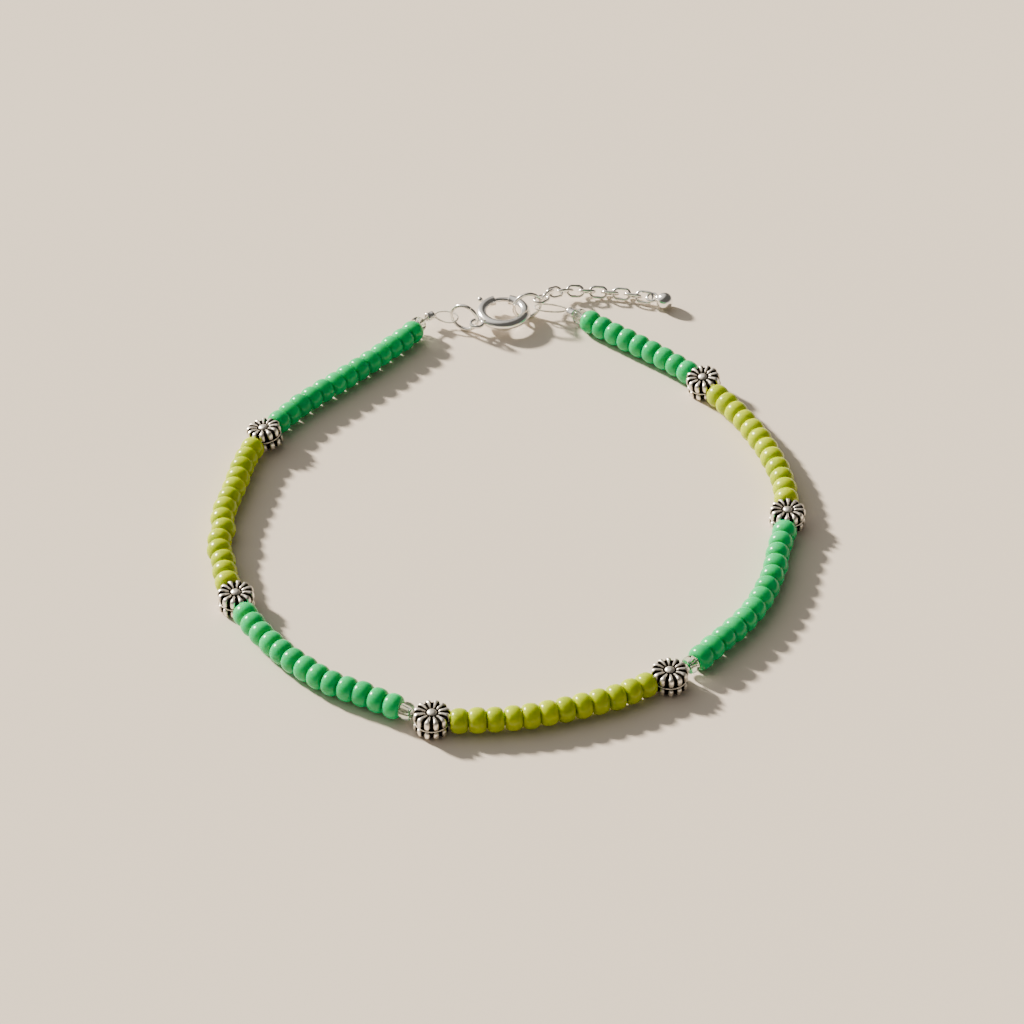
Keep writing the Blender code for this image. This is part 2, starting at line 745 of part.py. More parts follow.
def main():
    for item in list(bpy.data.objects):
        bpy.data.objects.remove(item, do_unlink=True)
    materials = {name: make_material(name) for name in COLOURS}
    silver = materials["silver_plate"]
    route, stations = thread_route()

    glass = materials["clear"]
    clear = turned_mesh("clear_bead", CLEAR_PROFILE, CLEAR_LENGTH, CLEAR_DIAMETER, CLEAR_HOLE, glass)
    strings = {}
    clear_number = 0
    for row in STRINGS:
        clear_number += bool(row[-1])
        strings[row[0]] = add_string(row, route, stations, materials, clear, clear_number)
    add_daisies(route, stations, materials["antique_silver"])

    add_clasp(silver)
    add_bolt(silver)
    ring = jump_ring_mesh(silver)
    crimp = turned_mesh("crimp", CRIMP_PROFILE, CRIMP_LENGTH, CRIMP_DIAMETER, CRIMP_HOLE, silver)

    facing = left_facing(route.at(stations["crimp_left"]))
    centre = left_ring_centre(facing)
    add_object("jump_ring_left", ring, placed(centre, facing))
    add_crimp("crimp_left", crimp, route, stations["crimp_left"], 1)
    add_thread_loop(
        strings["green_string_1"], route.at(stations["crimp_left"]), centre, facing, LEFT_LOOP_ROLL
    )

    facing = polar(HOOK_ANGLE)
    centre = right_ring_centre()
    add_object("jump_ring_right", ring, placed(centre, facing))
    add_crimp("crimp_right", crimp, route, stations["crimp_right"], -1)
    add_thread_loop(
        strings["green_string_4"], route.at(stations["crimp_right"]), centre, facing, RIGHT_LOOP_ROLL
    )
    add_chain(chain_route(centre), silver)


main()
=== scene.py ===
"""Beaded anklet: the finish of every bead, spacer and fitting, around the fixed frame.

Lengths are in metres. The frame gives the clasp, rings, links and ball their places, and the thread's
route gives the beads and daisies theirs.
"""
import json
import math

import bmesh
import bpy
import numpy as np
from bpy.props import FloatProperty, IntProperty, PointerProperty, StringProperty
from mathutils import Matrix, Vector


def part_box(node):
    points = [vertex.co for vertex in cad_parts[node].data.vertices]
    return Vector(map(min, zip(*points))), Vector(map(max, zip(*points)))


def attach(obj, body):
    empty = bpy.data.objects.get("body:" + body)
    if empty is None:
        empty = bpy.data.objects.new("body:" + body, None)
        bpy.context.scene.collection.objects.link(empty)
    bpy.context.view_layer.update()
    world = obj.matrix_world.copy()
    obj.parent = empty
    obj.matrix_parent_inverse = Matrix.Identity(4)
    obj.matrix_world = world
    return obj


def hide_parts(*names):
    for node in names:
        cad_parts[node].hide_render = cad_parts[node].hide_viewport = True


bl_info = {
    "name": "Beaded Anklet",
    "version": (1, 0, 0),
    "blender": (4, 5, 0),
    "location": "View3D > Sidebar > Anklet",
    "description": "Seed beads, daisy spacers, spring ring clasp and extension chain of an anklet",
    "category": "Object",
}

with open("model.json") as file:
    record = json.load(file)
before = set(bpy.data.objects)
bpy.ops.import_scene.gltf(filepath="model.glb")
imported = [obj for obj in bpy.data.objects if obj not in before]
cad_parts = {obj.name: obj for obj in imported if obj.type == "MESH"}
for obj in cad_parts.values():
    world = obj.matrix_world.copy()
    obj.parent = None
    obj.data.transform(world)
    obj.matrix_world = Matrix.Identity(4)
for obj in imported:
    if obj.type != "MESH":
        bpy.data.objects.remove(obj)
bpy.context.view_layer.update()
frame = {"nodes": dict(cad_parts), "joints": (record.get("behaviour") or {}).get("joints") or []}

MM = 0.001
RIGHT = Vector((1.0, 0.0, 0.0))
BACK = Vector((0.0, 1.0, 0.0))
UP = Vector((0.0, 0.0, 1.0))
SEED = 11
SEED_STEP = 10
LOOP_BODY = "anklet"
BOLT_BODY = "bolt"
CLASP_CENTRE = Vector(frame["joints"][0]["pos_m"])

# The thread's route, from the left crimp round the front to the right crimp. The named piece sits at its
# row's first point, and the others lead on to the next piece: x and y in millimetres.
THREAD_ROUTE = {
    "crimp_left": (
        (-10.1, 38.7), (-11.3, 37.7), (-12.6, 35.9), (-13.6, 33.8), (-16.2, 30.7), (-19.3, 27.1),
        (-22.4, 23.8), (-25.5, 20.6), (-28.6, 17.1),
    ),
    "daisy_1": (
        (-32.4, 11.45), (-34.1, 7.9), (-35.2, 3.2), (-36.1, -1.5), (-36.8, -5.2), (-36.5, -8.4),
        (-37.0, -11.1), (-36.2, -13.8), (-35.5, -17.6),
    ),
    "daisy_2": (
        (-34.0, -21.4), (-31.7, -26.0), (-28.6, -30.3), (-25.0, -34.0), (-21.2, -37.0), (-17.4, -38.9),
        (-13.2, -41.2),
    ),
    "daisy_3": (
        (-9.0, -43.2), (-4.8, -43.5), (0.4, -43.1), (5.2, -42.1), (9.6, -40.7), (13.6, -39.2),
        (16.8, -37.3),
    ),
    "daisy_4": (
        (19.8, -35.7), (23.4, -32.7), (26.5, -29.1), (29.5, -25.5), (32.1, -20.9), (33.9, -15.8),
        (34.6, -12.2), (35.6, -8.6),
    ),
    "daisy_5": (
        (36.2, -5.3), (36.3, -1.4), (36.0, 2.2), (35.1, 6.2), (33.8, 10.0), (32.1, 13.9),
        (30.0, 17.6), (28.3, 20.2),
    ),
    "daisy_6": (
        (26.7, 22.7), (24.5, 25.4), (21.0, 28.8), (17.6, 31.7), (14.3, 34.4), (10.9, 37.3),
    ),
    "crimp_right": ((8.2, 39.8),),
}

# The strings of seed beads, by the solid that each replaces. Columns: number of beads, where they run from
# and to, and the number of the clear bead at either end.
STRINGS = {
    "green_string_1": (13, "crimp_left", "daisy_1", 1, 0),
    "chartreuse_string_1": (14, "daisy_1", "daisy_2", 0, 0),
    "green_string_2": (13, "daisy_2", "daisy_3", 0, 2),
    "chartreuse_string_2": (12, "daisy_3", "daisy_4", 0, 0),
    "green_string_3": (13, "daisy_4", "daisy_5", 3, 0),
    "chartreuse_string_3": (12, "daisy_5", "daisy_6", 0, 0),
    "green_string_4": (9, "daisy_6", "crimp_right", 0, 4),
}

# Thread left bare between a crimp and its clear bead
BARE_THREAD = {"crimp_left": 1.20 * MM, "crimp_right": 0.30 * MM}

# How far a daisy leans out of the loop, in degrees
DAISY_LEAN = {"daisy_1": 10.0, "daisy_6": -12.0}


def number_setting(name, description, value, **kind):
    return FloatProperty(name=name, description=description, default=value, **kind)


def length_setting(name, description, millimetres):
    return number_setting(name, description, millimetres * MM, unit="LENGTH", precision=5)


def colour_setting(name, description, value):
    return StringProperty(name=name, description=description + ", as an sRGB hex value", default=value)


class AnkletBeads(bpy.types.PropertyGroup):
    """Seed beads, clear beads and the thread."""

    diameter: length_setting("Seed bead diameter", "Across a seed bead", 3.26)
    hole: length_setting("Seed bead hole", "Across the hole of a seed bead", 0.95)
    face: length_setting("Seed bead face", "Across the ring on which a seed bead's end stands", 1.7)
    roundness: number_setting("Roundness", "2 gives round edges, more gives squarer ones", 2.2, min=1.0)
    fullness: number_setting("Fullness", "Share of its place that a bead fills", 1.03, subtype="FACTOR")
    tilt: number_setting("Tilt", "Most that a bead tips on the thread", 0.05, subtype="ANGLE")
    play: length_setting("Play", "Most that a bead sits off the thread's middle", 0.03)
    spread: number_setting("Spread", "Difference in size between beads", 0.02, subtype="FACTOR")
    clear_diameter: length_setting("Clear bead diameter", "Across a clear bead", 2.3)
    clear_length: length_setting("Clear bead length", "Length of a clear bead along the thread", 1.5)
    thread: length_setting("Thread diameter", "Across one strand of thread", 0.25)
    loop_width: length_setting("Thread loop width", "Across the loop of thread at a jump ring", 2.1)
    green: colour_setting("Green glass", "Body colour of the green beads", "#00BE70")
    green_deep: colour_setting("Deep green glass", "Colour in the thick of the green beads", "#00A661")
    chartreuse: colour_setting("Chartreuse glass", "Body colour of the yellow-green beads", "#B4C400")
    chartreuse_deep: colour_setting("Deep chartreuse glass", "Colour in the thick of the beads", "#93A600")
    nylon: colour_setting("Thread", "Colour of the thread", "#E6E6DF")


class AnkletDaisies(bpy.types.PropertyGroup):
    """Cast daisy spacers."""

    diameter: length_setting("Diameter", "Across a daisy", 4.7)
    thickness: length_setting("Thickness", "From button to button", 3.0)
    petals: IntProperty(name="Petals", description="Petals on each face", default=12, min=5)
    groove: length_setting("Groove depth", "Depth of the grooves between petals", 0.45)
    hole: length_setting("Hole", "Across the hole for the thread", 0.9)
    silver: colour_setting("Silver", "Bright parts of the casting", "#FFF8EC")
    oxide: colour_setting("Oxide", "Blackened hollows of the casting", "#17140F")


class AnkletFittings(bpy.types.PropertyGroup):
    """Clasp, rings, chain and crimps."""

    clasp_diameter: length_setting("Clasp diameter", "Across the spring ring", 7.6)
    clasp_tube: length_setting("Clasp tube", "Across the tube of the spring ring", 1.5)
    clasp_channel: length_setting("Clasp channel", "Across the hollow in the tube", 1.1)
    eye_hole: length_setting("Eye hole", "Across the hole of the clasp's eye", 1.2)
    eye_wire: length_setting("Eye wire", "Thickness of the clasp's eye", 0.5)
    bolt_diameter: length_setting("Bolt diameter", "Across the sliding bolt", 0.7)
    knob_diameter: length_setting("Knob diameter", "Across the bolt's knob", 0.85)
    knob_stem: length_setting("Knob stem", "Across the knob's stem", 0.34)
    jump_diameter: length_setting("Jump ring diameter", "Across a jump ring", 4.4)
    jump_wire: length_setting("Jump ring wire", "Thickness of the jump rings", 0.5)
    link_length: length_setting("Link length", "Length of a chain link", 2.8)
    link_width: length_setting("Link width", "Width of a chain link", 1.9)
    link_wire: length_setting("Link wire", "Thickness of the chain's wire", 0.4)
    ball_diameter: length_setting("Ball diameter", "Across the ball at the chain's end", 2.4)
    ball_eye_hole: length_setting("Ball eye hole", "Across the hole of the ball's eye", 1.0)
    crimp_diameter: length_setting("Crimp diameter", "Across a crimp bead", 1.4)
    crimp_length: length_setting("Crimp length", "Length of a crimp bead", 1.2)
    plate: colour_setting("Silver plate", "Colour of the plated metal", "#FAF8F4")


class AnkletStage(bpy.types.PropertyGroup):
    """Floor, light and camera."""

    floor: colour_setting("Floor", "Colour of the floor", "#E9DDCE")
    sun_strength: number_setting("Key light", "Strength of the key light", 12.5)
    sun_spread: number_setting("Softness", "How wide the key light looks", 0.09, subtype="ANGLE")
    sky_strength: number_setting("Fill light", "Strength of the light all round", 0.2)
    lens: number_setting("Lens", "Focal length on a 36 mm frame", 110.0, unit="CAMERA")


def smoothed(points, steps):
    """Samples of a smooth curve through points, with so many steps from one point to the next."""
    padded = [2 * points[0] - points[1], *points, 2 * points[-1] - points[-2]]
    samples = []
    for before, start, end, after in zip(padded, padded[1:], padded[2:], padded[3:]):
        for step in range(steps):
            t = step / steps
            samples.append(
                (2 * t**3 - 3 * t**2 + 1) * start
                + (t**3 - 2 * t**2 + t) * (end - before) / 2
                + (3 * t**2 - 2 * t**3) * end
                + (t**3 - t**2) * (after - start) / 2
            )
    samples.append(points[-1])
    return np.array(samples)


class Route:
    """A smooth curve through chosen points, read by the length along it."""

    STEPS = 16

    def __init__(self, points):
        self.samples = smoothed(points, self.STEPS)
        spans = np.linalg.norm(np.diff(self.samples, axis=0), axis=1)
        self.lengths = np.concatenate([[0.0], np.cumsum(spans)])

    def knot_length(self, index):
        return float(self.lengths[index * self.STEPS])

    def at(self, length):
        """The point at a length along the curve, which runs on straight past its ends."""
        index = int(np.clip(np.searchsorted(self.lengths, length) - 1, 0, len(self.samples) - 2))
        share = (length - self.lengths[index]) / (self.lengths[index + 1] - self.lengths[index])
        return Vector(self.samples[index] * (1 - share) + self.samples[index + 1] * share)

    def heading(self, length, reach=0.5 * MM):
        return (self.at(length + reach) - self.at(length - reach)).normalized()


CRIMP_HEIGHT = 1.5 * MM
FIT_GAP = 0.30 * MM
SLIDE_GAP = 0.20 * MM
HOOK_GAP = 0.40 * MM
SEAT_OVERLAP = 0.12 * MM
WELD_REACH = 0.001 * MM

# Edges that turn by more than this stay crisp, in degrees
SOLID_EDGE = 35.0
WIRE_EDGE = 40.0
CRIMP_EDGE = 50.0
BEAD_EDGE = 60.0

# The thread as the frame has it, how far each strand runs off its middle as a share of a strand, and its
# loops round the jump rings
THREAD_CORE = 0.32 * MM
THREAD_STEP = 0.5 * MM
THREAD_TAIL = 12
THREAD_SIDES = 10
STRAND_SHIFT = 0.52
LOOP_STEPS = 48
LOOP_TAPER = 0.30
LOOP_DROP = 0.60 * MM
LEFT_LOOP_ROLL = 25.0

# From the tip of a thread loop to its crimp
CRIMP_START = THREAD_CORE / 2 + FIT_GAP

# How far the seed beads on a tight thread sit between a daisy's two rows of petals
NESTING = 0.12 * MM
CLEAR_BEAD_GAP = 0.02 * MM
CLEAR_HOLE = 0.8 * MM
CLEAR_FACE = 1.25 * MM
BEAD_SIDES = 36
BEAD_SECTION_STEPS = 18
PATH_STEPS_PER_BEAD = 6

# A crimp's section from end to end outside and back inside. Columns: place along the half length, share
# of the outer radius, and how far the sides are pressed in.
CRIMP_SIDES = 32
CRIMP_OUTLINE = (
    (-0.97, 0.88, 0.02),
    (-0.84, 0.98, 0.05),
    (-0.50, 1.00, 0.14),
    (0.00, 1.00, 0.20),
    (0.50, 1.00, 0.14),
    (0.84, 0.98, 0.05),
    (0.97, 0.88, 0.02),
    (1.00, 0.74, 0.00),
    (0.92, 0.60, 0.00),
    (0.50, 0.57, 0.06),
    (0.00, 0.57, 0.12),
    (-0.50, 0.57, 0.06),
    (-0.92, 0.60, 0.00),
    (-1.00, 0.74, 0.00),
)

# A petal's crest from the middle of the daisy's top to its waist. Columns: share of the radius, share of
# the half thickness, the petal's share of its slice, share of the groove's depth, how far the groove sinks
# inwards rather than down, and how much blackening stays on the crest.
PETAL_ROW_STEPS = 2
PETAL_FLATNESS = 3.6
BLACKENING_CURVE = 0.8
BORE_SIDES = 32
PETAL_COLUMNS = (0.0, 0.45, 0.75, 0.92, 1.0)
PETAL_OUTLINE = (
    (0.000, 1.000, 1.00, 0.00, 0.0, 0.0),
    (0.110, 0.985, 1.00, 0.00, 0.0, 0.0),
    (0.200, 0.930, 1.00, 0.00, 0.0, 0.0),
    (0.255, 0.840, 1.00, 0.00, 0.0, 0.3),
    (0.275, 0.720, 1.00, 0.05, 0.0, 1.0),
    (0.310, 0.710, 0.52, 0.30, 0.0, 1.0),
    (0.350, 0.840, 0.50, 0.75, 0.0, 0.3),
    (0.420, 0.930, 0.52, 1.00, 0.0, 0.0),
    (0.560, 0.970, 0.54, 1.00, 0.0, 0.0),
    (0.700, 0.980, 0.57, 1.00, 0.1, 0.0),
    (0.820, 0.955, 0.61, 1.00, 0.4, 0.0),
    (0.910, 0.870, 0.66, 1.00, 0.7, 0.0),
    (0.965, 0.730, 0.70, 1.00, 0.9, 0.0),
    (0.988, 0.550, 0.72, 1.00, 1.0, 0.0),
    (0.990, 0.400, 0.71, 1.00, 1.0, 0.0),
    (0.985, 0.290, 0.66, 1.00, 1.0, 0.0),
    (0.960, 0.205, 0.54, 0.90, 1.0, 0.0),
    (0.910, 0.155, 0.38, 0.60, 1.0, 0.3),
    (0.850, 0.120, 0.30, 0.20, 1.0, 1.0),
    (0.835, 0.095, 1.00, 0.00, 1.0, 1.0),
    (0.870, 0.065, 1.00, 0.00, 1.0, 0.8),
    (0.935, 0.042, 1.00, 0.00, 1.0, 0.0),
    (0.950, 0.000, 1.00, 0.00, 1.0, 0.0),
)

# The clasp, in degrees round its middle
CLASP_GAP = (75.0, 115.0)
CLASP_STEP = 2.5
KNOB_ANGLE = 138.0
EYE_ANGLE = 215.0
BOLT_TRAVEL = 40.0
BOLT_REACH = 4.0
BOLT_TAIL = 11.0
TUBE_SIDES = 40
CHANNEL_SIDES = 32
BOLT_SIDES = 28
STEM_SIDES = 20
KNOB_SIDES = 28
EYE_STEPS = 48
EYE_SIDES = 20

# How far back the ends of the tube and the bolt are rounded, and how far along that their middle step lies
TUBE_LIP = 0.08 * MM
BOLT_LIP = 0.1 * MM
LIP_MIDDLE = 0.3

# The slot narrows at its ends. A higher power keeps it wide for longer, and the least is the square of the
# share of its width that is left at the very end.
SLOT_STEPS = 40
SLOT_POWER = 14
SLOT_LEAST = 0.1

# Where each jump ring is cut, in degrees up from level, and how wide
JUMP_RING_CUTS = {"jump_ring_left": 118.0, "jump_ring_right": 75.0}
JUMP_CUT = 0.05 * MM
JUMP_STEPS = 96
JUMP_SIDES = 20

LINKS = 11
LINK_STEPS = 24
LINK_SIDES = 14

# The end ball. Columns of its collar: reach from the ball's middle and share of its radius.
BALL_SIDES = 48
POLE_STEP = 0.3
BALL_EYE_ROLL = 15.0
BALL_EYE_STEPS = 40
BALL_EYE_SIDES = 16
COLLAR_SIDES = 28
BALL_COLLAR = ((0.95 * MM, 0.48), (1.17 * MM, 0.42), (1.30 * MM, 0.34), (1.36 * MM, 0.22))

GLASS_IOR = 1.52
NYLON_IOR = 1.53

# The span in which most of a noise lies
NOISE_SPAN = (0.3, 0.7)

# How much a bead's own shade counts beside the streaks in its melt
TINT_SHARE = 0.32

# The daisies: how much the wipe's patches count beside the hollows, the grain's height beside theirs, and how
# much duller the blackening is
PATCH_SHARE = 0.6
GRAIN_SHARE = 0.4
OXIDE_DULLNESS = 0.35

# The darkest of the floor's drift, as a share of its colour
FLOOR_DRIFT = 0.94

FLOOR_REACH = 1.5
SENSOR_WIDTH = 36.0
NEAREST_SEEN = 0.01
CAMERA_PLACE = Vector((0.6, -314.97, 262.11)) * MM
CAMERA_AIM = Vector((0.6, -2.6, 0.0)) * MM
SUN_COLOUR = "#FFF3E2"
SKY_COLOUR = "#FFF9F0"
SUN_DIRECTION = Vector((-0.8, 0.6, 0.5))
WINDOW_DIRECTION = Vector((-0.62, 0.42, 0.66)).normalized()


def box_centre(node_name):
    """The middle of a solid that is alike on both sides of it."""
    low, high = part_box(node_name)
    return (low + high) / 2


def thread_route():
    """The thread's route, and the length along it at which each named piece sits."""
    bead_height = bpy.context.scene.anklet_beads.diameter / 2
    points, knots = [], {}
    for name, places in THREAD_ROUTE.items():
        knots[name] = len(points)
        own_height = box_centre(name).z if name.startswith("daisy") else CRIMP_HEIGHT
        heights = [own_height, *[bead_height] * (len(places) - 1)]
        points += [np.array((x * MM, y * MM, height)) for (x, y), height in zip(places, heights)]
    route = Route(points)
    return route, {name: route.knot_length(index) for name, index in knots.items()}


def string_sides(row):
    """The place, the number of the clear bead and the way along the route, for either end of a string."""
    _, start, end, first_clear, last_clear = row
    return (start, first_clear, 1), (end, last_clear, -1)


def string_ends(row, stations):
    """Where the first bead of a string begins and its last one ends, as lengths along the route."""
    scene = bpy.context.scene
    ends = []
    for place, clear_bead, way in string_sides(row):
        if place.startswith("daisy"):
            taken = scene.anklet_daisies.diameter / 2 + (FIT_GAP if clear_bead else -NESTING)
        else:
            taken = CRIMP_START + scene.anklet_fittings.crimp_length + BARE_THREAD[place]
        if clear_bead:
            taken += scene.anklet_beads.clear_length + CLEAR_BEAD_GAP
        ends.append(stations[place] + way * taken)
    return ends


# Meshes


def bridge(rings, closed=False):
    """Vertices and faces of a skin over rings of points, capped unless it closes on itself."""
    sides = len(rings[0])
    vertices = [tuple(point) for ring in rings for point in ring]
    faces = []
    for span in range(len(rings) if closed else len(rings) - 1):
        here = span * sides
        there = ((span + 1) % len(rings)) * sides
        for side in range(sides):
            after = (side + 1) % sides
            faces.append((here + side, here + after, there + after, there + side))
    if not closed:
        last = (len(rings) - 1) * sides
        faces.append(tuple(range(sides - 1, -1, -1)))
        faces.append(tuple(range(last, last + sides)))
    return vertices, faces


def turn_faces_out(mesh):
    form = bmesh.new()
    form.from_mesh(mesh)
    bmesh.ops.recalc_face_normals(form, faces=form.faces)
    form.to_mesh(mesh)
    form.free()


def solid_mesh(name, vertices, faces, sharp=SOLID_EDGE):
    """A smooth mesh with its faces turned outwards."""
    mesh = bpy.data.meshes.new(name)
    mesh.from_pydata(vertices, [], faces)
    turn_faces_out(mesh)
    mesh.shade_smooth()
    mesh.set_sharp_from_angle(angle=math.radians(sharp))
    return mesh


def line_mesh(name, points, closed=False):
    """A path as a mesh of edges alone."""
    count = len(points)
    edges = [(index, index + 1) for index in range(count - 1)]
    if closed:
        edges.append((count - 1, 0))
    mesh = bpy.data.meshes.new(name)
    mesh.from_pydata([tuple(point) for point in points], edges, [])
    return mesh


def section(centre, across, over, radius, sides):
    """A ring of points about a centre, in the plane of two directions."""
    angles = [2 * math.pi * (side + 0.5) / sides for side in range(sides)]
    return [centre + radius * (math.cos(angle) * across + math.sin(angle) * over) for angle in angles]


def turned_rings(profile, sides):
    """Rings of a shape turned about Z. The profile's columns are radius and height."""
    return [section(height * UP, RIGHT, BACK, radius, sides) for radius, height in profile]


def linked(name, mesh):
    item = bpy.data.objects.new(name, mesh)
    bpy.context.scene.collection.objects.link(item)
    return item


def placed(origin, along, up=UP):
    """The matrix of a piece whose X runs along a direction and whose Z keeps close to up."""
    along = along.normalized()
    across = up.cross(along).normalized()
    matrix = Matrix((along, across, along.cross(across))).transposed().to_4x4()
    matrix.translation = origin
    return matrix


def polar(degrees):
    angle = math.radians(degrees)
    return Vector((math.cos(angle), math.sin(angle), 0.0))


def evaluated_mesh(item):
    """An object's mesh with its modifiers worked out, as plain data."""
    depsgraph = bpy.context.evaluated_depsgraph_get()
    return bpy.data.meshes.new_from_object(
        item.evaluated_get(depsgraph), preserve_all_data_layers=True, depsgraph=depsgraph
    )


def combined(name, mesh, *tools):
    """A mesh with others joined to it or cut from it. Tools are a name, vertices and faces, and how."""
    item = linked(name, mesh)
    helpers = []
    for label, form, operation in tools:
        helper = linked(label, solid_mesh(label, *form))
        helpers.append(helper)
        modifier = item.modifiers.new(label, "BOOLEAN")
        modifier.object = helper
        modifier.operation = operation
        modifier.solver = "EXACT"
    result = evaluated_mesh(item)
    for spare in [item, *helpers]:
        bpy.data.objects.remove(spare)
    result.name = name
    result.set_sharp_from_angle(angle=math.radians(SOLID_EDGE))
    return result


def finish_piece(item, body, slot, *replaced):
    """Hand a finished piece to its body, and hide the solids that it stands for. Its slot is not used."""
    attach(item, body)
    if replaced:
        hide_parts(*replaced)


def finish_mesh(name, mesh, material, body, slot, node):
    """Hand over a mesh that has one finish all over."""
    mesh.materials.clear()
    mesh.materials.append(finish(material))
    finish_piece(linked(name, mesh), body, slot, node)


def solid_axes(node_name):
    """The middle of a solid, and its long, middle and short directions."""
    points = np.array([vertex.co for vertex in frame["nodes"][node_name].data.vertices], float)
    points = np.unique(np.round(points, 8), axis=0)
    centre = points.mean(axis=0)
    spread = (points - centre).T @ (points - centre)
    _, directions = np.linalg.eigh(spread)
    short, middle, long = (Vector(directions[:, index]) for index in range(3))
    return Vector(centre), long, middle, short


# Node trees


def add_node(tree, kind, inputs=None, **settings):
    """Add a node. Inputs map a socket's name or number to a value or to the output that feeds it."""
    item = tree.nodes.new(kind)
    for key, value in settings.items():
        setattr(item, key, value)
    for key, value in (inputs or {}).items():
        if isinstance(value, bpy.types.NodeSocket):
            tree.links.new(value, item.inputs[key])
        else:
            item.inputs[key].default_value = value
    return item


def output_of(tree, kind, inputs=None, **settings):
    return add_node(tree, kind, inputs, **settings).outputs[0]


def maths(tree, operation, *values):
    return output_of(tree, "ShaderNodeMath", dict(enumerate(values)), operation=operation)


def scaled(tree, vector, scale):
    return output_of(tree, "ShaderNodeVectorMath", {0: vector, "Scale": scale}, operation="SCALE")


def added(tree, vector, other):
    return output_of(tree, "ShaderNodeVectorMath", {0: vector, 1: other}, operation="ADD")


def rotation_of(tree, angles):
    return output_of(tree, "FunctionNodeEulerToRotation", {"Euler": angles})


def copies_at(tree, points, piece, rotation, **scale):
    inputs = {"Points": points, "Instance": piece, "Rotation": rotation, **scale}
    return output_of(tree, "GeometryNodeInstanceOnPoints", inputs)


def start_tree(name, sockets):
    """A geometry node tree with its inputs. Sockets are pairs of a name and a kind."""
    tree = bpy.data.node_groups.new(name, "GeometryNodeTree")
    tree.interface.new_socket("Geometry", in_out="OUTPUT", socket_type="NodeSocketGeometry")
    tree.interface.new_socket("Geometry", in_out="INPUT", socket_type="NodeSocketGeometry")
    for label, kind in (*sockets, ("Material", "NodeSocketMaterial")):
        tree.interface.new_socket(label, in_out="INPUT", socket_type=kind)
    return tree, tree.nodes.new("NodeGroupInput").outputs


def end_tree(tree, geometry, material):
    solid = output_of(tree, "GeometryNodeRealizeInstances", {"Geometry": geometry})
    painted = output_of(tree, "GeometryNodeSetMaterial", {"Geometry": solid, "Material": material})
    add_node(tree, "NodeGroupOutput", {0: painted})
    return tree


def grow(name, source, tree, settings, sharp=None):
    """A plain mesh piece made by a node tree from a source mesh."""
    item = linked(name, source)
    modifier = item.modifiers.new(tree.name, "NODES")
    modifier.node_group = tree
    identifiers = {}
    for entry in tree.interface.items_tree:
        if entry.item_type == "SOCKET" and entry.in_out == "INPUT":
            identifiers[entry.name] = entry.identifier
    for label, value in settings.items():
        modifier[identifiers[label]] = value
    mesh = evaluated_mesh(item)
    item.modifiers.remove(modifier)
    item.data = mesh
    if sharp is not None:
        mesh.set_sharp_from_angle(angle=math.radians(sharp))
    return item


def beads_on_thread_tree():
    """Beads spread evenly along a path, each a little tipped, shifted and sized by chance."""
    shares = [(name, "NodeSocketFloat") for name in ("Tilt", "Play", "Spread")]
    sockets = (("Bead", "NodeSocketObject"), ("Beads", "NodeSocketInt"), *shares, ("Seed", "NodeSocketInt"))
    tree, inputs = start_tree("Beads on a thread", sockets)
    path = output_of(tree, "GeometryNodeMeshToCurve", {"Mesh": inputs["Geometry"]})
    middle = maths(tree, "ADD", output_of(tree, "GeometryNodeInputIndex"), 0.5)
    share = maths(tree, "DIVIDE", middle, inputs["Beads"])
    place = add_node(tree, "GeometryNodeSampleCurve", {"Curves": path, "Factor": share}, mode="FACTOR")
    chance = []
    level, every_way = (1.0, 1.0, 0.0), (1.0, 1.0, 1.0)
    for offset, reach in enumerate((level, every_way, every_way, every_way)):
        seed = maths(tree, "ADD", inputs["Seed"], float(offset))
        drawn = {0: tuple(-side for side in reach), 1: reach, "Seed": seed}
        chance.append(output_of(tree, "FunctionNodeRandomValue", drawn, data_type="FLOAT_VECTOR"))
    shift, tip, swell, shade = chance
    position = added(tree, place.outputs["Position"], scaled(tree, shift, inputs["Play"]))
    points = output_of(tree, "GeometryNodePoints", {"Count": inputs["Beads"], "Position": position})
    tangent = {"Vector": place.outputs["Tangent"]}
    turns = {
        "Rotation": output_of(tree, "FunctionNodeAlignRotationToVector", tangent, axis="Z"),
        "Rotate By": rotation_of(tree, scaled(tree, tip, inputs["Tilt"])),
    }
    turn = output_of(tree, "FunctionNodeRotateRotation", turns, rotation_space="LOCAL")
    shrink = maths(tree, "SUBTRACT", 1.0, inputs["Spread"])
    size = added(tree, scaled(tree, swell, inputs["Spread"]), shrink)
    bead = add_node(tree, "GeometryNodeObjectInfo", {"Object": inputs["Bead"]}).outputs["Geometry"]
    tinted = {
        "Geometry": copies_at(tree, points, bead, turn, Scale=size),
        "Name": "tint",
        "Value": output_of(tree, "ShaderNodeSeparateXYZ", {0: shade}),
    }
    stored = output_of(
        tree, "GeometryNodeStoreNamedAttribute", tinted, data_type="FLOAT", domain="INSTANCE"
    )
    return end_tree(tree, stored, inputs["Material"])


def bent_wire_tree():
    """A round wire along a path."""
    tree, inputs = start_tree("Bent wire", (("Diameter", "NodeSocketFloat"), ("Sides", "NodeSocketInt")))
    path = output_of(tree, "GeometryNodeMeshToCurve", {"Mesh": inputs["Geometry"]})
    radius = maths(tree, "MULTIPLY", inputs["Diameter"], 0.5)
    circle = {"Resolution": inputs["Sides"], "Radius": radius}
    outline = output_of(tree, "GeometryNodeCurvePrimitiveCircle", circle)
    sweep = {"Curve": path, "Profile Curve": outline, "Fill Caps": True}
    return end_tree(tree, output_of(tree, "GeometryNodeCurveToMesh", sweep), inputs["Material"])


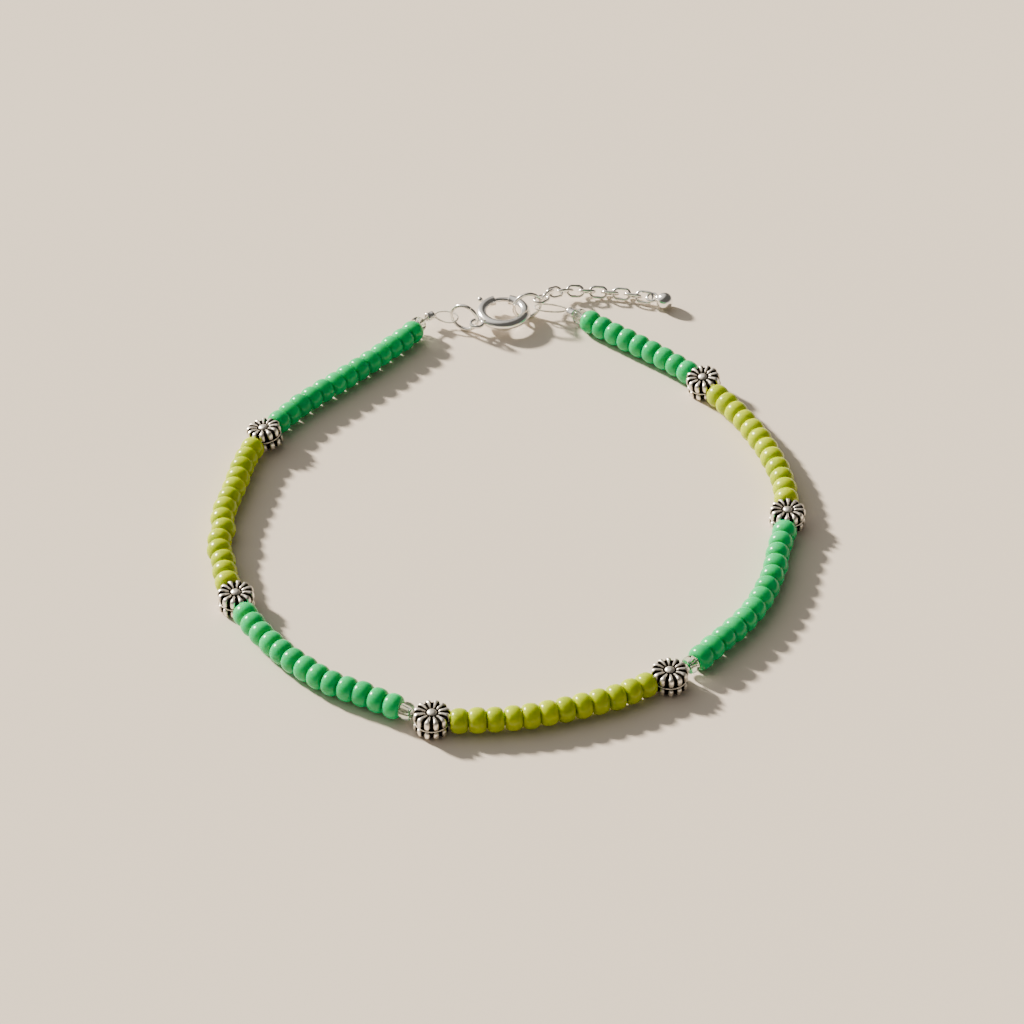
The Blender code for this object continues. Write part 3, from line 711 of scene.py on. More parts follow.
def copies_tree():
    """One piece repeated at points, each copy turned by the point's own turn."""
    tree, inputs = start_tree("Copies at places", (("Piece", "NodeSocketObject"),))
    piece = add_node(tree, "GeometryNodeObjectInfo", {"Object": inputs["Piece"]}).outputs["Geometry"]
    turn = output_of(tree, "GeometryNodeInputNamedAttribute", {"Name": "turn"}, data_type="FLOAT_VECTOR")
    copies = copies_at(tree, inputs["Geometry"], piece, rotation_of(tree, turn))
    return end_tree(tree, copies, inputs["Material"])


def petal_ring_tree():
    """One petal's slice repeated round the button and welded to a whole daisy."""
    tree, inputs = start_tree("Petal ring", (("Petals", "NodeSocketInt"),))
    points = output_of(tree, "GeometryNodePoints", {"Count": inputs["Petals"]})
    share = maths(tree, "DIVIDE", output_of(tree, "GeometryNodeInputIndex"), inputs["Petals"])
    turn = output_of(tree, "ShaderNodeCombineXYZ", {"Z": maths(tree, "MULTIPLY", share, 2 * math.pi)})
    copies = copies_at(tree, points, inputs["Geometry"], rotation_of(tree, turn))
    solid = output_of(tree, "GeometryNodeRealizeInstances", {"Geometry": copies})
    weld = {"Geometry": solid, "Distance": WELD_REACH}
    return end_tree(tree, output_of(tree, "GeometryNodeMergeByDistance", weld), inputs["Material"])


def copies_of(name, mesh, places, material):
    """A piece made of copies of a mesh at places, which are matrices."""
    points = bpy.data.meshes.new(name)
    points.from_pydata([tuple(place.translation) for place in places], [], [])
    turns = points.attributes.new("turn", "FLOAT_VECTOR", "POINT")
    for entry, place in zip(turns.data, places):
        entry.vector = place.to_euler()
    source = linked(f"{name}_source", mesh)
    item = grow(name, points, copies_tree(), {"Piece": source, "Material": material}, WIRE_EDGE)
    bpy.data.objects.remove(source)
    return item


def wire_piece(name, points, diameter, sides, material, closed=False):
    settings = {"Diameter": diameter, "Sides": sides, "Material": finish(material)}
    return grow(name, line_mesh(name, points, closed), bent_wire_tree(), settings, WIRE_EDGE)


# Finishes


def linear(value):
    """An sRGB hex colour as Blender's linear one."""
    channels = [int(value[start : start + 2], 16) / 255 for start in (1, 3, 5)]
    return (*(c / 12.92 if c <= 0.04045 else ((c + 0.055) / 1.055) ** 2.4 for c in channels), 1.0)


def start_finish(name):
    """A new material's tree, and the output that gives a place on the object in metres."""
    material = bpy.data.materials.new(name)
    material.use_nodes = True
    material.node_tree.nodes.clear()
    return material.node_tree, add_node(material.node_tree, "ShaderNodeTexCoord").outputs["Object"]


def end_finish(tree, settings):
    shader = add_node(tree, "ShaderNodeBsdfPrincipled", settings)
    add_node(tree, "ShaderNodeOutputMaterial", {"Surface": shader.outputs[0]})


def noise(tree, place, size, detail=2.0):
    """Noise with marks of about a size."""
    return output_of(tree, "ShaderNodeTexNoise", {"Vector": place, "Scale": 1 / size, "Detail": detail})


def carried(tree, value, source, target=(0.0, 1.0), **settings):
    """A value carried from one range over to another."""
    ranges = dict(zip(("From Min", "From Max", "To Min", "To Max"), (*source, *target)))
    return output_of(tree, "ShaderNodeMapRange", {"Value": value, **ranges}, **settings)


def relief(tree, height, strength, depth):
    return output_of(tree, "ShaderNodeBump", {"Strength": strength, "Distance": depth, "Height": height})


def blend(tree, share, first, second):
    return add_node(tree, "ShaderNodeMix", {0: share, 6: first, 7: second}, data_type="RGBA").outputs[2]


def opaque_glass(name, body, deep):
    """Opaque seed bead glass: drawn as a tube, chopped, and tumbled in heat until its edges are round.

    Light goes a little way in, so the beads glow beside their highlights. Each is a shade of its own.
    """
    tree, place = start_finish(name)
    tint = add_node(tree, "ShaderNodeAttribute", attribute_name="tint").outputs["Fac"]
    # Streaks in the melt, about 0.8 mm
    streaks = noise(tree, place, 0.8 * MM, 3.0)
    shade = carried(tree, maths(tree, "MULTIPLY_ADD", tint, TINT_SHARE, streaks), (0.1, 0.95), (0.0, 0.85))
    # Waves left by the heat, about 0.5 mm, and tumbling wear of 0.06 mm
    waves = noise(tree, place, 0.5 * MM)
    wear = noise(tree, place, 0.06 * MM)
    end_finish(
        tree,
        {
            "Base Color": blend(tree, shade, linear(body), linear(deep)),
            "Roughness": carried(tree, wear, NOISE_SPAN, (0.16, 0.28)),
            "IOR": GLASS_IOR,
            "Specular IOR Level": 0.3,
            "Subsurface Weight": 1.0,
            "Subsurface Radius": (0.8, 1.0, 0.6),
            "Subsurface Scale": 1.6 * MM,
            "Normal": relief(tree, waves, 0.5, 0.02 * MM),
        },
    )


def green_glass():
    beads = bpy.context.scene.anklet_beads
    opaque_glass("opaque_green_glass", beads.green, beads.green_deep)


def chartreuse_glass():
    beads = bpy.context.scene.anklet_beads
    opaque_glass("opaque_chartreuse_glass", beads.chartreuse, beads.chartreuse_deep)


def clear_glass():
    """Crystal glass, fire-polished: clear, with a faint frost in its wall."""
    tree, place = start_finish("crystal_glass")
    # Frost of 0.1 mm
    frost = noise(tree, place, 0.1 * MM)
    end_finish(
        tree,
        {
            "Base Color": linear("#E6ECE3"),
            "Roughness": carried(tree, frost, (0.35, 0.7), (0.0, 0.05)),
            "IOR": GLASS_IOR,
            "Transmission Weight": 1.0,
            "Normal": relief(tree, frost, 0.15, 0.01 * MM),
        },
    )


def cast_silver():
    """Cast pewter plated with silver, blackened and wiped: dark hollows, and bright worn crests."""
    daisies = bpy.context.scene.anklet_daisies
    tree, place = start_finish("antiqued_cast_silver")
    hollow = add_node(tree, "ShaderNodeAttribute", attribute_name="hollow").outputs["Fac"]
    # Blackening that the wipe missed, in patches of 0.25 mm, and casting grain of 0.09 mm
    patches = noise(tree, place, 0.25 * MM, 3.0)
    grain = noise(tree, place, 0.09 * MM)
    black = carried(tree, maths(tree, "MULTIPLY_ADD", patches, PATCH_SHARE, hollow), (0.36, 0.84))
    worn = carried(tree, grain, NOISE_SPAN, (0.22, 0.42))
    height = maths(tree, "MULTIPLY_ADD", grain, GRAIN_SHARE, patches)
    end_finish(
        tree,
        {
            "Base Color": blend(tree, black, linear(daisies.silver), linear(daisies.oxide)),
            "Metallic": 1.0,
            "Roughness": maths(tree, "MULTIPLY_ADD", black, OXIDE_DULLNESS, worn),
            "Normal": relief(tree, height, 0.8, 0.04 * MM),
        },
    )


def silver_plate():
    """Silver plated on drawn brass: bright, with faint rubbing that breaks up its reflections."""
    tree, place = start_finish("silver_plated_brass")
    # Rubbing of 0.15 mm, and waves of 0.6 mm from the drawn wire
    rubbing = noise(tree, place, 0.15 * MM, 3.0)
    waves = noise(tree, place, 0.6 * MM, 1.0)
    end_finish(
        tree,
        {
            "Base Color": linear(bpy.context.scene.anklet_fittings.plate),
            "Metallic": 1.0,
            "Roughness": carried(tree, rubbing, NOISE_SPAN, (0.09, 0.24)),
            "Normal": relief(tree, waves, 0.35, 0.02 * MM),
        },
    )


def nylon_thread():
    """Drawn nylon thread: milky and half clear, with a soft shine."""
    tree, place = start_finish("nylon_thread")
    # Draw marks, 0.2 mm apart
    marks = noise(tree, place, 0.2 * MM)
    end_finish(
        tree,
        {
            "Base Color": linear(bpy.context.scene.anklet_beads.nylon),
            "Roughness": carried(tree, marks, NOISE_SPAN, (0.25, 0.4)),
            "IOR": NYLON_IOR,
            "Transmission Weight": 0.45,
        },
    )


def floor_paint():
    """Matt paint on a studio floor, with a faint drift in its shade over 60 mm."""
    tree, place = start_finish("floor_paint")
    colour = linear(bpy.context.scene.anklet_stage.floor)
    shade = blend(tree, noise(tree, place, 60 * MM), colour, tuple(FLOOR_DRIFT * c for c in colour))
    end_finish(tree, {"Base Color": shade, "Roughness": 0.9, "Specular IOR Level": 0.2})


FINISHES = {
    "opaque_green_glass": green_glass,
    "opaque_chartreuse_glass": chartreuse_glass,
    "crystal_glass": clear_glass,
    "antiqued_cast_silver": cast_silver,
    "silver_plated_brass": silver_plate,
    "nylon_thread": nylon_thread,
    "floor_paint": floor_paint,
}


def finish(name):
    """A finish, made the first time that a piece asks for it. No finish shares a name with a slot."""
    if name not in bpy.data.materials:
        FINISHES[name]()
    return bpy.data.materials[name]


# Pieces


def ring_section(diameter, face, hole, length, roundness):
    """The section of a bead: radius and height round its wall, which is longest at its face."""
    power = 2 / roundness
    profile = []
    for step in range(BEAD_SECTION_STEPS):
        angle = 2 * math.pi * (step + 0.5) / BEAD_SECTION_STEPS
        aside = abs(math.cos(angle)) ** power
        along = math.copysign(abs(math.sin(angle)) ** power, math.sin(angle))
        reach = diameter - face if math.cos(angle) > 0 else hole - face
        profile.append((face / 2 + reach / 2 * aside, length / 2 * along))
    return profile


def seed_bead_mesh(length):
    """One seed bead, turned about Z: plump outside, and rounded into its hole."""
    beads = bpy.context.scene.anklet_beads
    profile = ring_section(beads.diameter, beads.face, beads.hole, length, beads.roundness)
    return solid_mesh("seed_bead", *bridge(turned_rings(profile, BEAD_SIDES), closed=True), sharp=BEAD_EDGE)


def make_seed_beads():
    beads = bpy.context.scene.anklet_beads
    route, stations = thread_route()
    tree = beads_on_thread_tree()
    for number, (node, row) in enumerate(STRINGS.items()):
        glass = node.split("_")[0]
        name = node.replace("string", "beads")
        count = row[0]
        first, last = string_ends(row, stations)
        pitch = (last - first) / count
        source = linked("seed_bead", seed_bead_mesh(pitch * beads.fullness))
        steps = PATH_STEPS_PER_BEAD * count
        points = [route.at(first + (last - first) * step / steps) for step in range(steps + 1)]
        settings = {
            "Bead": source,
            "Beads": count,
            "Tilt": beads.tilt,
            "Play": beads.play,
            "Spread": beads.spread,
            "Seed": SEED + SEED_STEP * number,
            "Material": finish(f"opaque_{glass}_glass"),
        }
        item = grow(name, line_mesh(name, points), tree, settings)
        bpy.data.objects.remove(source)
        finish_piece(item, LOOP_BODY, f"{glass}_glass", node)


def loop_path(tip, wire, roll, apart):
    """The thread's way out of a crimp, round the wire of a jump ring and back, and its sideways direction."""
    beads = bpy.context.scene.anklet_beads
    hook = bpy.context.scene.anklet_fittings.jump_wire / 2 + HOOK_GAP + THREAD_CORE / 2
    far_end = wire + hook * (wire - tip).normalized()
    along = (far_end - tip).normalized()
    across = (Matrix.Rotation(math.radians(roll), 3, along) @ UP).cross(along).normalized()
    length = (far_end - tip).length
    half_width = (beads.loop_width - THREAD_CORE) / 2
    points = []
    for step in range(LOOP_STEPS + 1):
        angle = 2 * math.pi * step / LOOP_STEPS
        forward = length * (1 - math.cos(angle)) / 2
        aside = half_width * math.sin(angle) * (1 - LOOP_TAPER * math.cos(angle / 2) ** 2)
        points.append(tip + forward * along + (aside + apart * math.cos(angle / 2)) * across)
    return points, across


def make_thread():
    beads = bpy.context.scene.anklet_beads
    route, stations = thread_route()
    start, end = stations["crimp_left"], stations["crimp_right"]
    apart = STRAND_SHIFT * beads.thread
    loops = []
    for node, length, roll in (("jump_ring_left", start, LEFT_LOOP_ROLL), ("jump_ring_right", end, 0.0)):
        tip = route.at(length)
        loops.append(loop_path(tip, ring_wire(node, tip), roll, apart))
    (left, left_side), (right, right_side) = loops
    steps = int((end - start) / THREAD_STEP)
    tail = range(1, THREAD_TAIL + 1)
    points = [route.at(start + step * THREAD_STEP) + apart * left_side for step in reversed(tail)]
    points += left
    for step in range(1, steps):
        aside = -apart * left_side * max(0.0, 1 - step / (2 * THREAD_TAIL))
        aside += apart * right_side * max(0.0, 1 - (steps - step) / (2 * THREAD_TAIL))
        points.append(route.at(start + step * (end - start) / steps) + aside)
    points += right
    points += [route.at(end - step * THREAD_STEP) - apart * right_side for step in tail]
    item = wire_piece("thread", points, beads.thread, THREAD_SIDES, "nylon_thread")
    finish_piece(item, LOOP_BODY, "clear_glass")


def ring_wire(node_name, towards):
    """The middle of a jump ring's wire where the thread hooks it, low on the side of a point."""
    fittings = bpy.context.scene.anklet_fittings
    centre = box_centre(node_name)
    facing = towards - centre
    _, _, _, normal = solid_axes(node_name)
    facing -= facing.dot(normal) * normal
    facing.z = 0.0
    facing.normalize()
    middle = (fittings.jump_diameter - fittings.jump_wire) / 2
    return centre + math.sqrt(middle**2 - LOOP_DROP**2) * facing - LOOP_DROP * UP


def make_clear_beads():
    beads = bpy.context.scene.anklet_beads
    route, stations = thread_route()
    profile = ring_section(beads.clear_diameter, CLEAR_FACE, CLEAR_HOLE, beads.clear_length, beads.roundness)
    form = bridge(turned_rings(profile, BEAD_SIDES), closed=True)
    turned = Matrix.Rotation(math.pi / 2, 4, "Y")
    for row in STRINGS.values():
        for (_, number, way), end in zip(string_sides(row), string_ends(row, stations)):
            if not number:
                continue
            name = f"clear_bead_{number}"
            length = end - way * (CLEAR_BEAD_GAP + beads.clear_length / 2)
            mesh = solid_mesh(name, *form, sharp=BEAD_EDGE)
            mesh.transform(placed(route.at(length), route.heading(length)) @ turned)
            finish_mesh(f"{name}_finished", mesh, "crystal_glass", LOOP_BODY, "clear_glass", name)


def make_crimps():
    """A crimp: a barrel pressed flat on two sides, which nips the thread."""
    fittings = bpy.context.scene.anklet_fittings
    route, stations = thread_route()
    outer = fittings.crimp_diameter / 2
    half = fittings.crimp_length / 2
    rings = []
    for along, radius, press in CRIMP_OUTLINE:
        ring = []
        for side in range(CRIMP_SIDES):
            angle = 2 * math.pi * side / CRIMP_SIDES
            reach = radius * outer * (1 - press * math.cos(angle) ** 2)
            ring.append(Vector((along * half, reach * math.sin(angle), reach * math.cos(angle))))
        rings.append(ring)
    for name, way in (("crimp_left", 1), ("crimp_right", -1)):
        mesh = solid_mesh(name, *bridge(rings, closed=True), sharp=CRIMP_EDGE)
        middle = stations[name] + way * (CRIMP_START + half)
        mesh.transform(placed(route.at(middle), route.heading(middle)))
        finish_mesh(f"{name}_finished", mesh, "silver_plated_brass", LOOP_BODY, "silver_plate", name)


def petal_mesh():
    """One petal's slice of a daisy, from the middle of its top to the middle of its underside."""
    daisies = bpy.context.scene.anklet_daisies
    radius = daisies.diameter / 2
    half = daisies.thickness / 2
    upper = smoothed([np.array(row) for row in PETAL_OUTLINE], PETAL_ROW_STEPS)
    lower = upper[-2::-1] * np.array((1, -1, 1, 1, 1, 1))
    rows = np.concatenate((upper, lower))
    vertices, faces, hollows = [], [], []
    for reach, height, width, groove, inward, hollow in rows:
        half_row = [width * share for share in PETAL_COLUMNS] + [(1 + width) / 2, 1.0]
        shares = [-share for share in reversed(half_row[1:])] + half_row
        for share in shares:
            angle = math.pi / daisies.petals * share
            sink = 1 - math.sqrt(max(0.0, 1 - min(1.0, abs(share) / width) ** PETAL_FLATNESS))
            depth = daisies.groove * groove * sink
            out = max(0.0, reach * radius - depth * inward)
            level = height * half - math.copysign(depth * (1 - inward), height)
            vertices.append((out * math.cos(angle), out * math.sin(angle), level))
            hollows.append(min(1.0, max(hollow, groove * sink**BLACKENING_CURVE)))
    across = len(shares)
    for row in range(len(rows) - 1):
        for column in range(across - 1):
            corner = row * across + column
            faces.append((corner, corner + across, corner + across + 1, corner + 1))
    mesh = bpy.data.meshes.new("petal")
    mesh.from_pydata(vertices, [], faces)
    mesh.attributes.new("hollow", "FLOAT", "POINT").data.foreach_set("value", hollows)
    mesh.shade_smooth()
    return mesh


def make_daisies():
    daisies = bpy.context.scene.anklet_daisies
    route, stations = thread_route()
    settings = {"Petals": daisies.petals, "Material": finish("antiqued_cast_silver")}
    casting = grow("daisy_casting", petal_mesh(), petal_ring_tree(), settings)
    whole = casting.data
    bpy.data.objects.remove(casting)
    turn_faces_out(whole)
    bore = daisies.hole / 2
    ends = [section(way * daisies.diameter * RIGHT, BACK, UP, bore, BORE_SIDES) for way in (-1, 1)]
    bored = combined("daisy", whole, ("thread_bore", bridge(ends), "DIFFERENCE"))
    for name, station in stations.items():
        if not name.startswith("daisy"):
            continue
        heading = route.heading(station, daisies.diameter / 2)
        heading.z = 0.0
        heading.normalize()
        up = Matrix.Rotation(math.radians(DAISY_LEAN.get(name, 0.0)), 3, heading) @ UP
        mesh = bored.copy()
        mesh.transform(placed(route.at(station), heading, up))
        finish_piece(linked(f"{name}_finished", mesh), LOOP_BODY, "antique_silver", name)


def arc_rings(radius, bar_radius, sides, start, end, lip=0.0):
    """Rings of a round bar bent about the clasp's middle. A lip rounds off its two ends."""
    steps = max(2, math.ceil(abs(end - start) / CLASP_STEP))
    stops = [(start + (end - start) * step / steps, 1.0) for step in range(steps + 1)]
    if lip:
        turn = math.degrees(lip / radius)
        inset = 1 - lip / bar_radius
        stops[0] = (start + turn, 1.0)
        stops[-1] = (end - turn, 1.0)
        stops.insert(0, (start + LIP_MIDDLE * turn, (1 + 2 * inset) / 3))
        stops.insert(0, (start, inset))
        stops.append((end - LIP_MIDDLE * turn, (1 + 2 * inset) / 3))
        stops.append((end, inset))
    rings = []
    for angle, share in stops:
        outward = polar(angle)
        rings.append(section(radius * outward, outward, UP, bar_radius * share, sides))
    return rings


def ball_rings(centre, along, radius, sides):
    """Rings of a ball from near one pole to near the other, about an axis."""
    across = UP.cross(along).normalized()
    over = along.cross(across)
    bands = sides // 2
    rings = []
    for band in range(bands):
        angle = math.pi * (band + POLE_STEP) / (bands - 1 + 2 * POLE_STEP)
        middle = centre - radius * math.cos(angle) * along
        rings.append(section(middle, across, over, radius * math.sin(angle), sides))
    return rings


def round_wire(centre, first, second, radius, wire, steps, sides):
    """A closed ring of wire in the plane of two directions."""
    normal = first.cross(second)
    rings = []
    for step in range(steps):
        angle = 2 * math.pi * step / steps
        outward = math.cos(angle) * first + math.sin(angle) * second
        rings.append(section(centre + radius * outward, outward, normal, wire / 2, sides))
    return bridge(rings, closed=True)


def make_fitting(name, body, node, centre, base, *tools):
    """A plated fitting: a base form, with tools joined to it or cut from it, moved to its centre."""
    mesh = combined(name, solid_mesh(f"{name}_base", *base), *tools)
    mesh.transform(Matrix.Translation(centre))
    finish_mesh(name, mesh, "silver_plated_brass", body, "silver_plate", node)


def make_clasp_ring():
    fittings = bpy.context.scene.anklet_fittings
    middle = (fittings.clasp_diameter - fittings.clasp_tube) / 2
    bore = fittings.clasp_channel / 2
    clearance = math.degrees(SLIDE_GAP / middle)
    gap_start, gap_end = CLASP_GAP
    tube = arc_rings(middle, fittings.clasp_tube / 2, TUBE_SIDES, gap_end, gap_start + 360.0, lip=TUBE_LIP)
    channel_end = KNOB_ANGLE + BOLT_TRAVEL + BOLT_TAIL + clearance
    channel = arc_rings(middle, bore, CHANNEL_SIDES, gap_end - clearance, channel_end)
    pocket_end = gap_start - BOLT_REACH - clearance
    pocket = arc_rings(middle, bore, CHANNEL_SIDES, pocket_end, gap_start + clearance)
    half_slot = fittings.knob_stem / 2 + SLIDE_GAP
    margin = math.degrees(half_slot / middle)
    depth = fittings.clasp_tube
    slot = []
    for step in range(SLOT_STEPS + 1):
        share = step / SLOT_STEPS
        outward = polar(KNOB_ANGLE - margin + share * (BOLT_TRAVEL + 2 * margin))
        narrow = half_slot * math.sqrt(max(SLOT_LEAST, 1 - abs(2 * share - 1) ** SLOT_POWER))
        corners = ((0.0, -narrow), (depth, -narrow), (depth, narrow), (0.0, narrow))
        slot.append([(middle + reach) * outward + height * UP for reach, height in corners])
    outward = polar(EYE_ANGLE)
    reach = fittings.clasp_diameter / 2 + fittings.eye_hole / 2 + SEAT_OVERLAP
    radius = (fittings.eye_hole + fittings.eye_wire) / 2
    sideways = polar(EYE_ANGLE + 90.0)
    eye = round_wire(reach * outward, outward, sideways, radius, fittings.eye_wire, EYE_STEPS, EYE_SIDES)
    make_fitting(
        "clasp_ring_finished",
        LOOP_BODY,
        "clasp_ring",
        CLASP_CENTRE,
        bridge(tube),
        ("clasp_eye", eye, "UNION"),
        ("clasp_channel", bridge(channel), "DIFFERENCE"),
        ("clasp_pocket", bridge(pocket), "DIFFERENCE"),
        ("clasp_slot", bridge(slot), "DIFFERENCE"),
    )


def make_clasp_bolt():
    fittings = bpy.context.scene.anklet_fittings
    middle = (fittings.clasp_diameter - fittings.clasp_tube) / 2
    start, end = CLASP_GAP[0] - BOLT_REACH, KNOB_ANGLE + BOLT_TAIL
    bar = arc_rings(middle, fittings.bolt_diameter / 2, BOLT_SIDES, start, end, lip=BOLT_LIP)
    outward = polar(KNOB_ANGLE)
    sideways = polar(KNOB_ANGLE + 90.0)
    reach = fittings.clasp_diameter / 2 + SLIDE_GAP + fittings.knob_diameter / 2
    half_stem = fittings.knob_stem / 2
    stem = [section(length * outward, sideways, UP, half_stem, STEM_SIDES) for length in (middle, reach)]
    knob = ball_rings(reach * outward, outward, fittings.knob_diameter / 2, KNOB_SIDES)
    make_fitting(
        "clasp_bolt_finished",
        BOLT_BODY,
        "clasp_bolt",
        CLASP_CENTRE,
        bridge(bar),
        ("bolt_stem", bridge(stem), "UNION"),
        ("bolt_knob", bridge(knob), "UNION"),
    )


def make_jump_rings():
    """Open rings of wire, each with the fine cut where it was bent open."""
    fittings = bpy.context.scene.anklet_fittings
    radius = (fittings.jump_diameter - fittings.jump_wire) / 2
    cut = JUMP_CUT / radius
    for node, cut_angle in JUMP_RING_CUTS.items():
        centre = box_centre(node)
        _, _, _, normal = solid_axes(node)
        first = UP.cross(normal).normalized()
        second = normal.cross(first)
        points = []
        for step in range(JUMP_STEPS + 1):
            angle = math.radians(cut_angle) + cut / 2 + (2 * math.pi - cut) * step / JUMP_STEPS
            points.append(centre + radius * (math.cos(angle) * first + math.sin(angle) * second))
        item = wire_piece(f"{node}_finished", points, fittings.jump_wire, JUMP_SIDES, "silver_plated_brass")
        finish_piece(item, LOOP_BODY, "silver_plate", node)


def make_chain():
    """The extension chain: oval links of one shape, each where its solid is."""
    fittings = bpy.context.scene.anklet_fittings
    end = (fittings.link_width - fittings.link_wire) / 2
    straight = (fittings.link_length - fittings.link_width) / 2
    points = []
    for half in (1, -1):
        for step in range(LINK_STEPS):
            angle = math.pi * (step / (LINK_STEPS - 1) - 0.5)
            along = half * (straight + end * math.cos(angle))
            points.append(Vector((along, half * end * math.sin(angle), 0.0)))
    link = wire_piece("link", points, fittings.link_wire, LINK_SIDES, "silver_plated_brass", closed=True)
    nodes = [f"chain_link_{number:02d}" for number in range(1, LINKS + 1)]
    places = []
    for node in nodes:
        _, along, _, normal = solid_axes(node)
        places.append(placed(box_centre(node), along, normal))
    mesh = link.data
    bpy.data.objects.remove(link)
    item = copies_of("extension_chain", mesh, places, finish("silver_plated_brass"))
    finish_piece(item, LOOP_BODY, "silver_plate", *nodes)


def make_end_ball():
    """The ball at the chain's end, on its flat eye."""
    fittings = bpy.context.scene.anklet_fittings
    centre, along, _, _ = solid_axes("chain_ball")
    offsets = [vertex.co - centre for vertex in frame["nodes"]["chain_ball"].data.vertices]
    # The ball is wider than its eye, so the point furthest from the axis is on the ball
    widest = max(offsets, key=lambda offset: offset.cross(along).length)
    if widest.dot(along) < 0:
        along = -along
    radius = fittings.ball_diameter / 2
    eye_radius = (fittings.ball_eye_hole + fittings.link_wire) / 2
    middle = centre + (max(offset.dot(along) for offset in offsets) - radius) * along
    eye_middle = middle - (radius + eye_radius) * along
    across = UP.cross(along).normalized()
    rolled = Matrix.Rotation(math.radians(BALL_EYE_ROLL), 3, along) @ across
    eye = round_wire(
        eye_middle, along, rolled, eye_radius, fittings.link_wire, BALL_EYE_STEPS, BALL_EYE_SIDES
    )
    collar = []
    for reach, share in BALL_COLLAR:
        collar.append(section(middle - reach * along, across, UP, share * radius, COLLAR_SIDES))
    make_fitting(
        "end_ball",
        LOOP_BODY,
        "chain_ball",
        Vector(),
        bridge(ball_rings(middle, along, radius, BALL_SIDES)),
        ("ball_eye", eye, "UNION"),
        ("ball_collar", bridge(collar), "UNION"),
    )


def make_stage():
    """The floor, the light and the camera."""
    scene = bpy.context.scene
    stage = scene.anklet_stage
    corners = [(x * FLOOR_REACH, y * FLOOR_REACH, 0.0) for x, y in ((-1, -1), (1, -1), (1, 1), (-1, 1))]
    mesh = bpy.data.meshes.new("floor")
    mesh.from_pydata(corners, [], [(0, 1, 2, 3)])
    mesh.materials.append(finish("floor_paint"))
    linked("floor", mesh)

    lamp = bpy.data.lights.new("key_light", "SUN")
    lamp.energy = stage.sun_strength
    lamp.angle = stage.sun_spread
    lamp.color = linear(SUN_COLOUR)[:3]
    key = linked("key_light", lamp)
    key.rotation_euler = (-SUN_DIRECTION).to_track_quat("-Z", "Y").to_euler()

    scene.world = bpy.data.worlds.new("studio")
    scene.world.use_nodes = True
    tree = scene.world.node_tree
    tree.nodes.clear()
    towards = add_node(tree, "ShaderNodeTexCoord").outputs["Generated"]
    facing = {0: towards, 1: tuple(WINDOW_DIRECTION)}
    window = add_node(tree, "ShaderNodeVectorMath", facing, operation="DOT_PRODUCT").outputs["Value"]
    glow = carried(tree, window, (0.45, 1.0), (0.5, 5.0), interpolation_type="SMOOTHERSTEP")
    # Pale walls: brighter near the floor, where they light the sides of things and hardly fill a shadow
    height = add_node(tree, "ShaderNodeSeparateXYZ", {0: towards}).outputs["Z"]
    walls = carried(tree, height, (0.0, 0.35), (2.4, 0.0), interpolation_type="SMOOTHERSTEP")
    sky = maths(tree, "MULTIPLY", maths(tree, "ADD", glow, walls), stage.sky_strength)
    light = output_of(tree, "ShaderNodeBackground", {"Color": linear(SKY_COLOUR), "Strength": sky})
    add_node(tree, "ShaderNodeOutputWorld", {"Surface": light})

    eye = bpy.data.cameras.new("camera")
    eye.lens = stage.lens
    eye.sensor_width = SENSOR_WIDTH
    eye.clip_start = NEAREST_SEEN
    camera = linked("camera", eye)
    camera.location = CAMERA_PLACE
    camera.rotation_euler = (CAMERA_AIM - CAMERA_PLACE).to_track_quat("-Z", "Y").to_euler()
    scene.camera = camera


# Operators and panel


class ANKLET_OT_seed_beads(bpy.types.Operator):
    """Make the seven strings of seed beads"""

    bl_idname = "anklet.seed_beads"
    bl_label = "Seed beads"

    def execute(self, context):
        make_seed_beads()
        return {"FINISHED"}


class ANKLET_OT_thread(bpy.types.Operator):
    """Make the thread, with its loop at each end"""

    bl_idname = "anklet.thread"
    bl_label = "Thread"

    def execute(self, context):
        make_thread()
        return {"FINISHED"}


class ANKLET_OT_clear_beads(bpy.types.Operator):
    """Make the small clear beads"""

    bl_idname = "anklet.clear_beads"
    bl_label = "Clear beads"

    def execute(self, context):
        make_clear_beads()
        return {"FINISHED"}


class ANKLET_OT_crimps(bpy.types.Operator):
    """Make the two crimps"""

    bl_idname = "anklet.crimps"
    bl_label = "Crimps"

    def execute(self, context):
        make_crimps()
        return {"FINISHED"}


class ANKLET_OT_daisies(bpy.types.Operator):
    """Make the daisy spacers"""

    bl_idname = "anklet.daisies"
    bl_label = "Daisy spacers"

    def execute(self, context):
        make_daisies()
        return {"FINISHED"}


class ANKLET_OT_clasp_ring(bpy.types.Operator):
    """Make the spring ring's hollow tube and eye"""

    bl_idname = "anklet.clasp_ring"
    bl_label = "Clasp ring"

    def execute(self, context):
        make_clasp_ring()
        return {"FINISHED"}


class ANKLET_OT_clasp_bolt(bpy.types.Operator):
    """Make the sliding bolt and its knob"""

    bl_idname = "anklet.clasp_bolt"
    bl_label = "Clasp bolt"

    def execute(self, context):
        make_clasp_bolt()
        return {"FINISHED"}


class ANKLET_OT_jump_rings(bpy.types.Operator):
    """Make the two jump rings"""

    bl_idname = "anklet.jump_rings"
    bl_label = "Jump rings"

    def execute(self, context):
        make_jump_rings()
        return {"FINISHED"}


class ANKLET_OT_chain(bpy.types.Operator):
    """Make the extension chain"""

    bl_idname = "anklet.chain"
    bl_label = "Extension chain"

    def execute(self, context):
        make_chain()
        return {"FINISHED"}


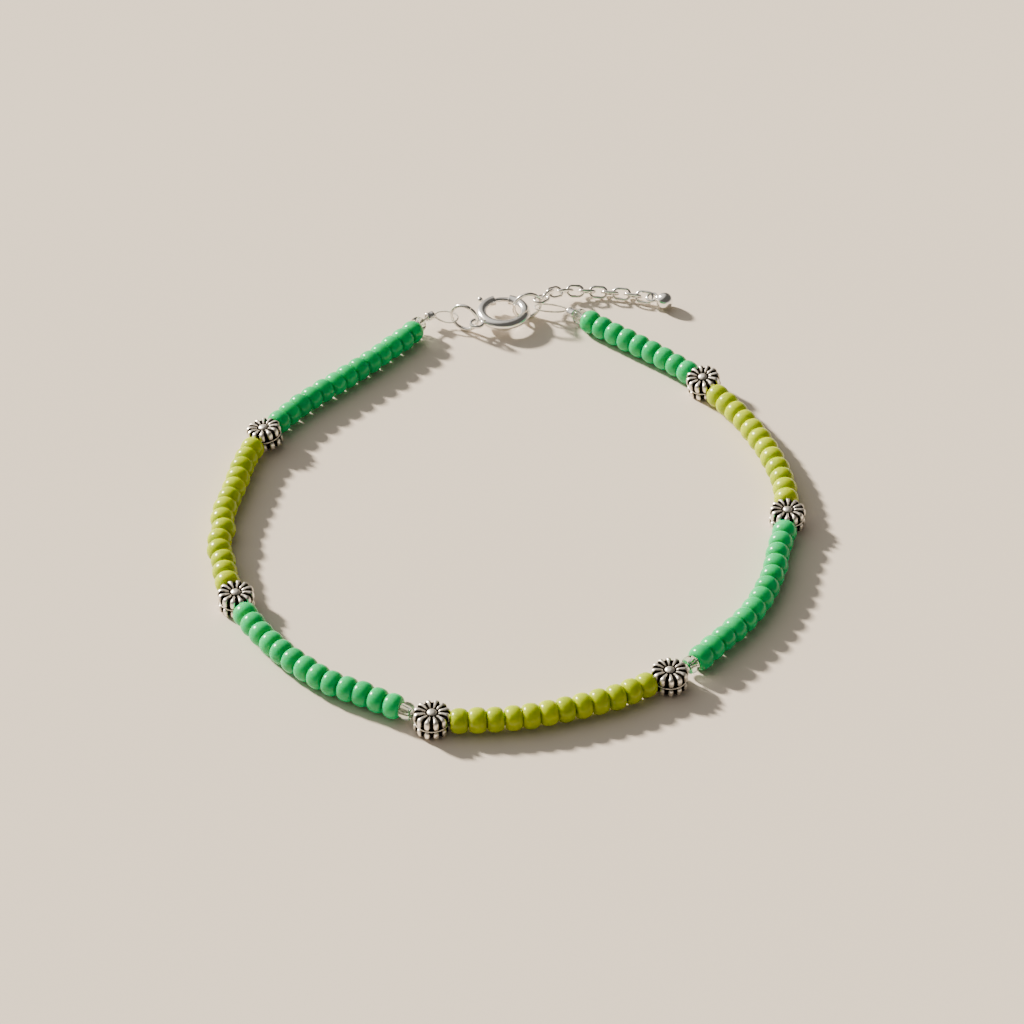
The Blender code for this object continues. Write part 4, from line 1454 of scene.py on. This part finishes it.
class ANKLET_OT_end_ball(bpy.types.Operator):
    """Make the ball at the chain's end"""

    bl_idname = "anklet.end_ball"
    bl_label = "End ball"

    def execute(self, context):
        make_end_ball()
        return {"FINISHED"}


class ANKLET_OT_stage(bpy.types.Operator):
    """Make the floor, the light and the camera"""

    bl_idname = "anklet.stage"
    bl_label = "Stage"

    def execute(self, context):
        make_stage()
        return {"FINISHED"}


OPERATORS = (
    ANKLET_OT_seed_beads,
    ANKLET_OT_thread,
    ANKLET_OT_clear_beads,
    ANKLET_OT_crimps,
    ANKLET_OT_daisies,
    ANKLET_OT_clasp_ring,
    ANKLET_OT_clasp_bolt,
    ANKLET_OT_jump_rings,
    ANKLET_OT_chain,
    ANKLET_OT_end_ball,
    ANKLET_OT_stage,
)


class ANKLET_PT_pieces(bpy.types.Panel):
    """The anklet's pieces, in the order that they are made"""

    bl_idname = "ANKLET_PT_pieces"
    bl_label = "Beaded anklet"
    bl_space_type = "VIEW_3D"
    bl_region_type = "UI"
    bl_category = "Anklet"

    def draw(self, context):
        for operator in OPERATORS:
            self.layout.operator(operator.bl_idname)


SETTINGS = {
    "anklet_beads": AnkletBeads,
    "anklet_daisies": AnkletDaisies,
    "anklet_fittings": AnkletFittings,
    "anklet_stage": AnkletStage,
}


def register():
    for kind in (*SETTINGS.values(), *OPERATORS, ANKLET_PT_pieces):
        bpy.utils.register_class(kind)
    for name, kind in SETTINGS.items():
        setattr(bpy.types.Scene, name, PointerProperty(type=kind))


def unregister():
    for name in SETTINGS:
        delattr(bpy.types.Scene, name)
    for kind in (ANKLET_PT_pieces, *reversed(OPERATORS), *SETTINGS.values()):
        bpy.utils.unregister_class(kind)


def main():
    register()
    bpy.ops.anklet.seed_beads()
    bpy.ops.anklet.thread()
    bpy.ops.anklet.clear_beads()
    bpy.ops.anklet.crimps()
    bpy.ops.anklet.daisies()
    bpy.ops.anklet.clasp_ring()
    bpy.ops.anklet.clasp_bolt()
    bpy.ops.anklet.jump_rings()
    bpy.ops.anklet.chain()
    bpy.ops.anklet.end_ball()
    bpy.ops.anklet.stage()


if __name__ == "__main__":
    main()
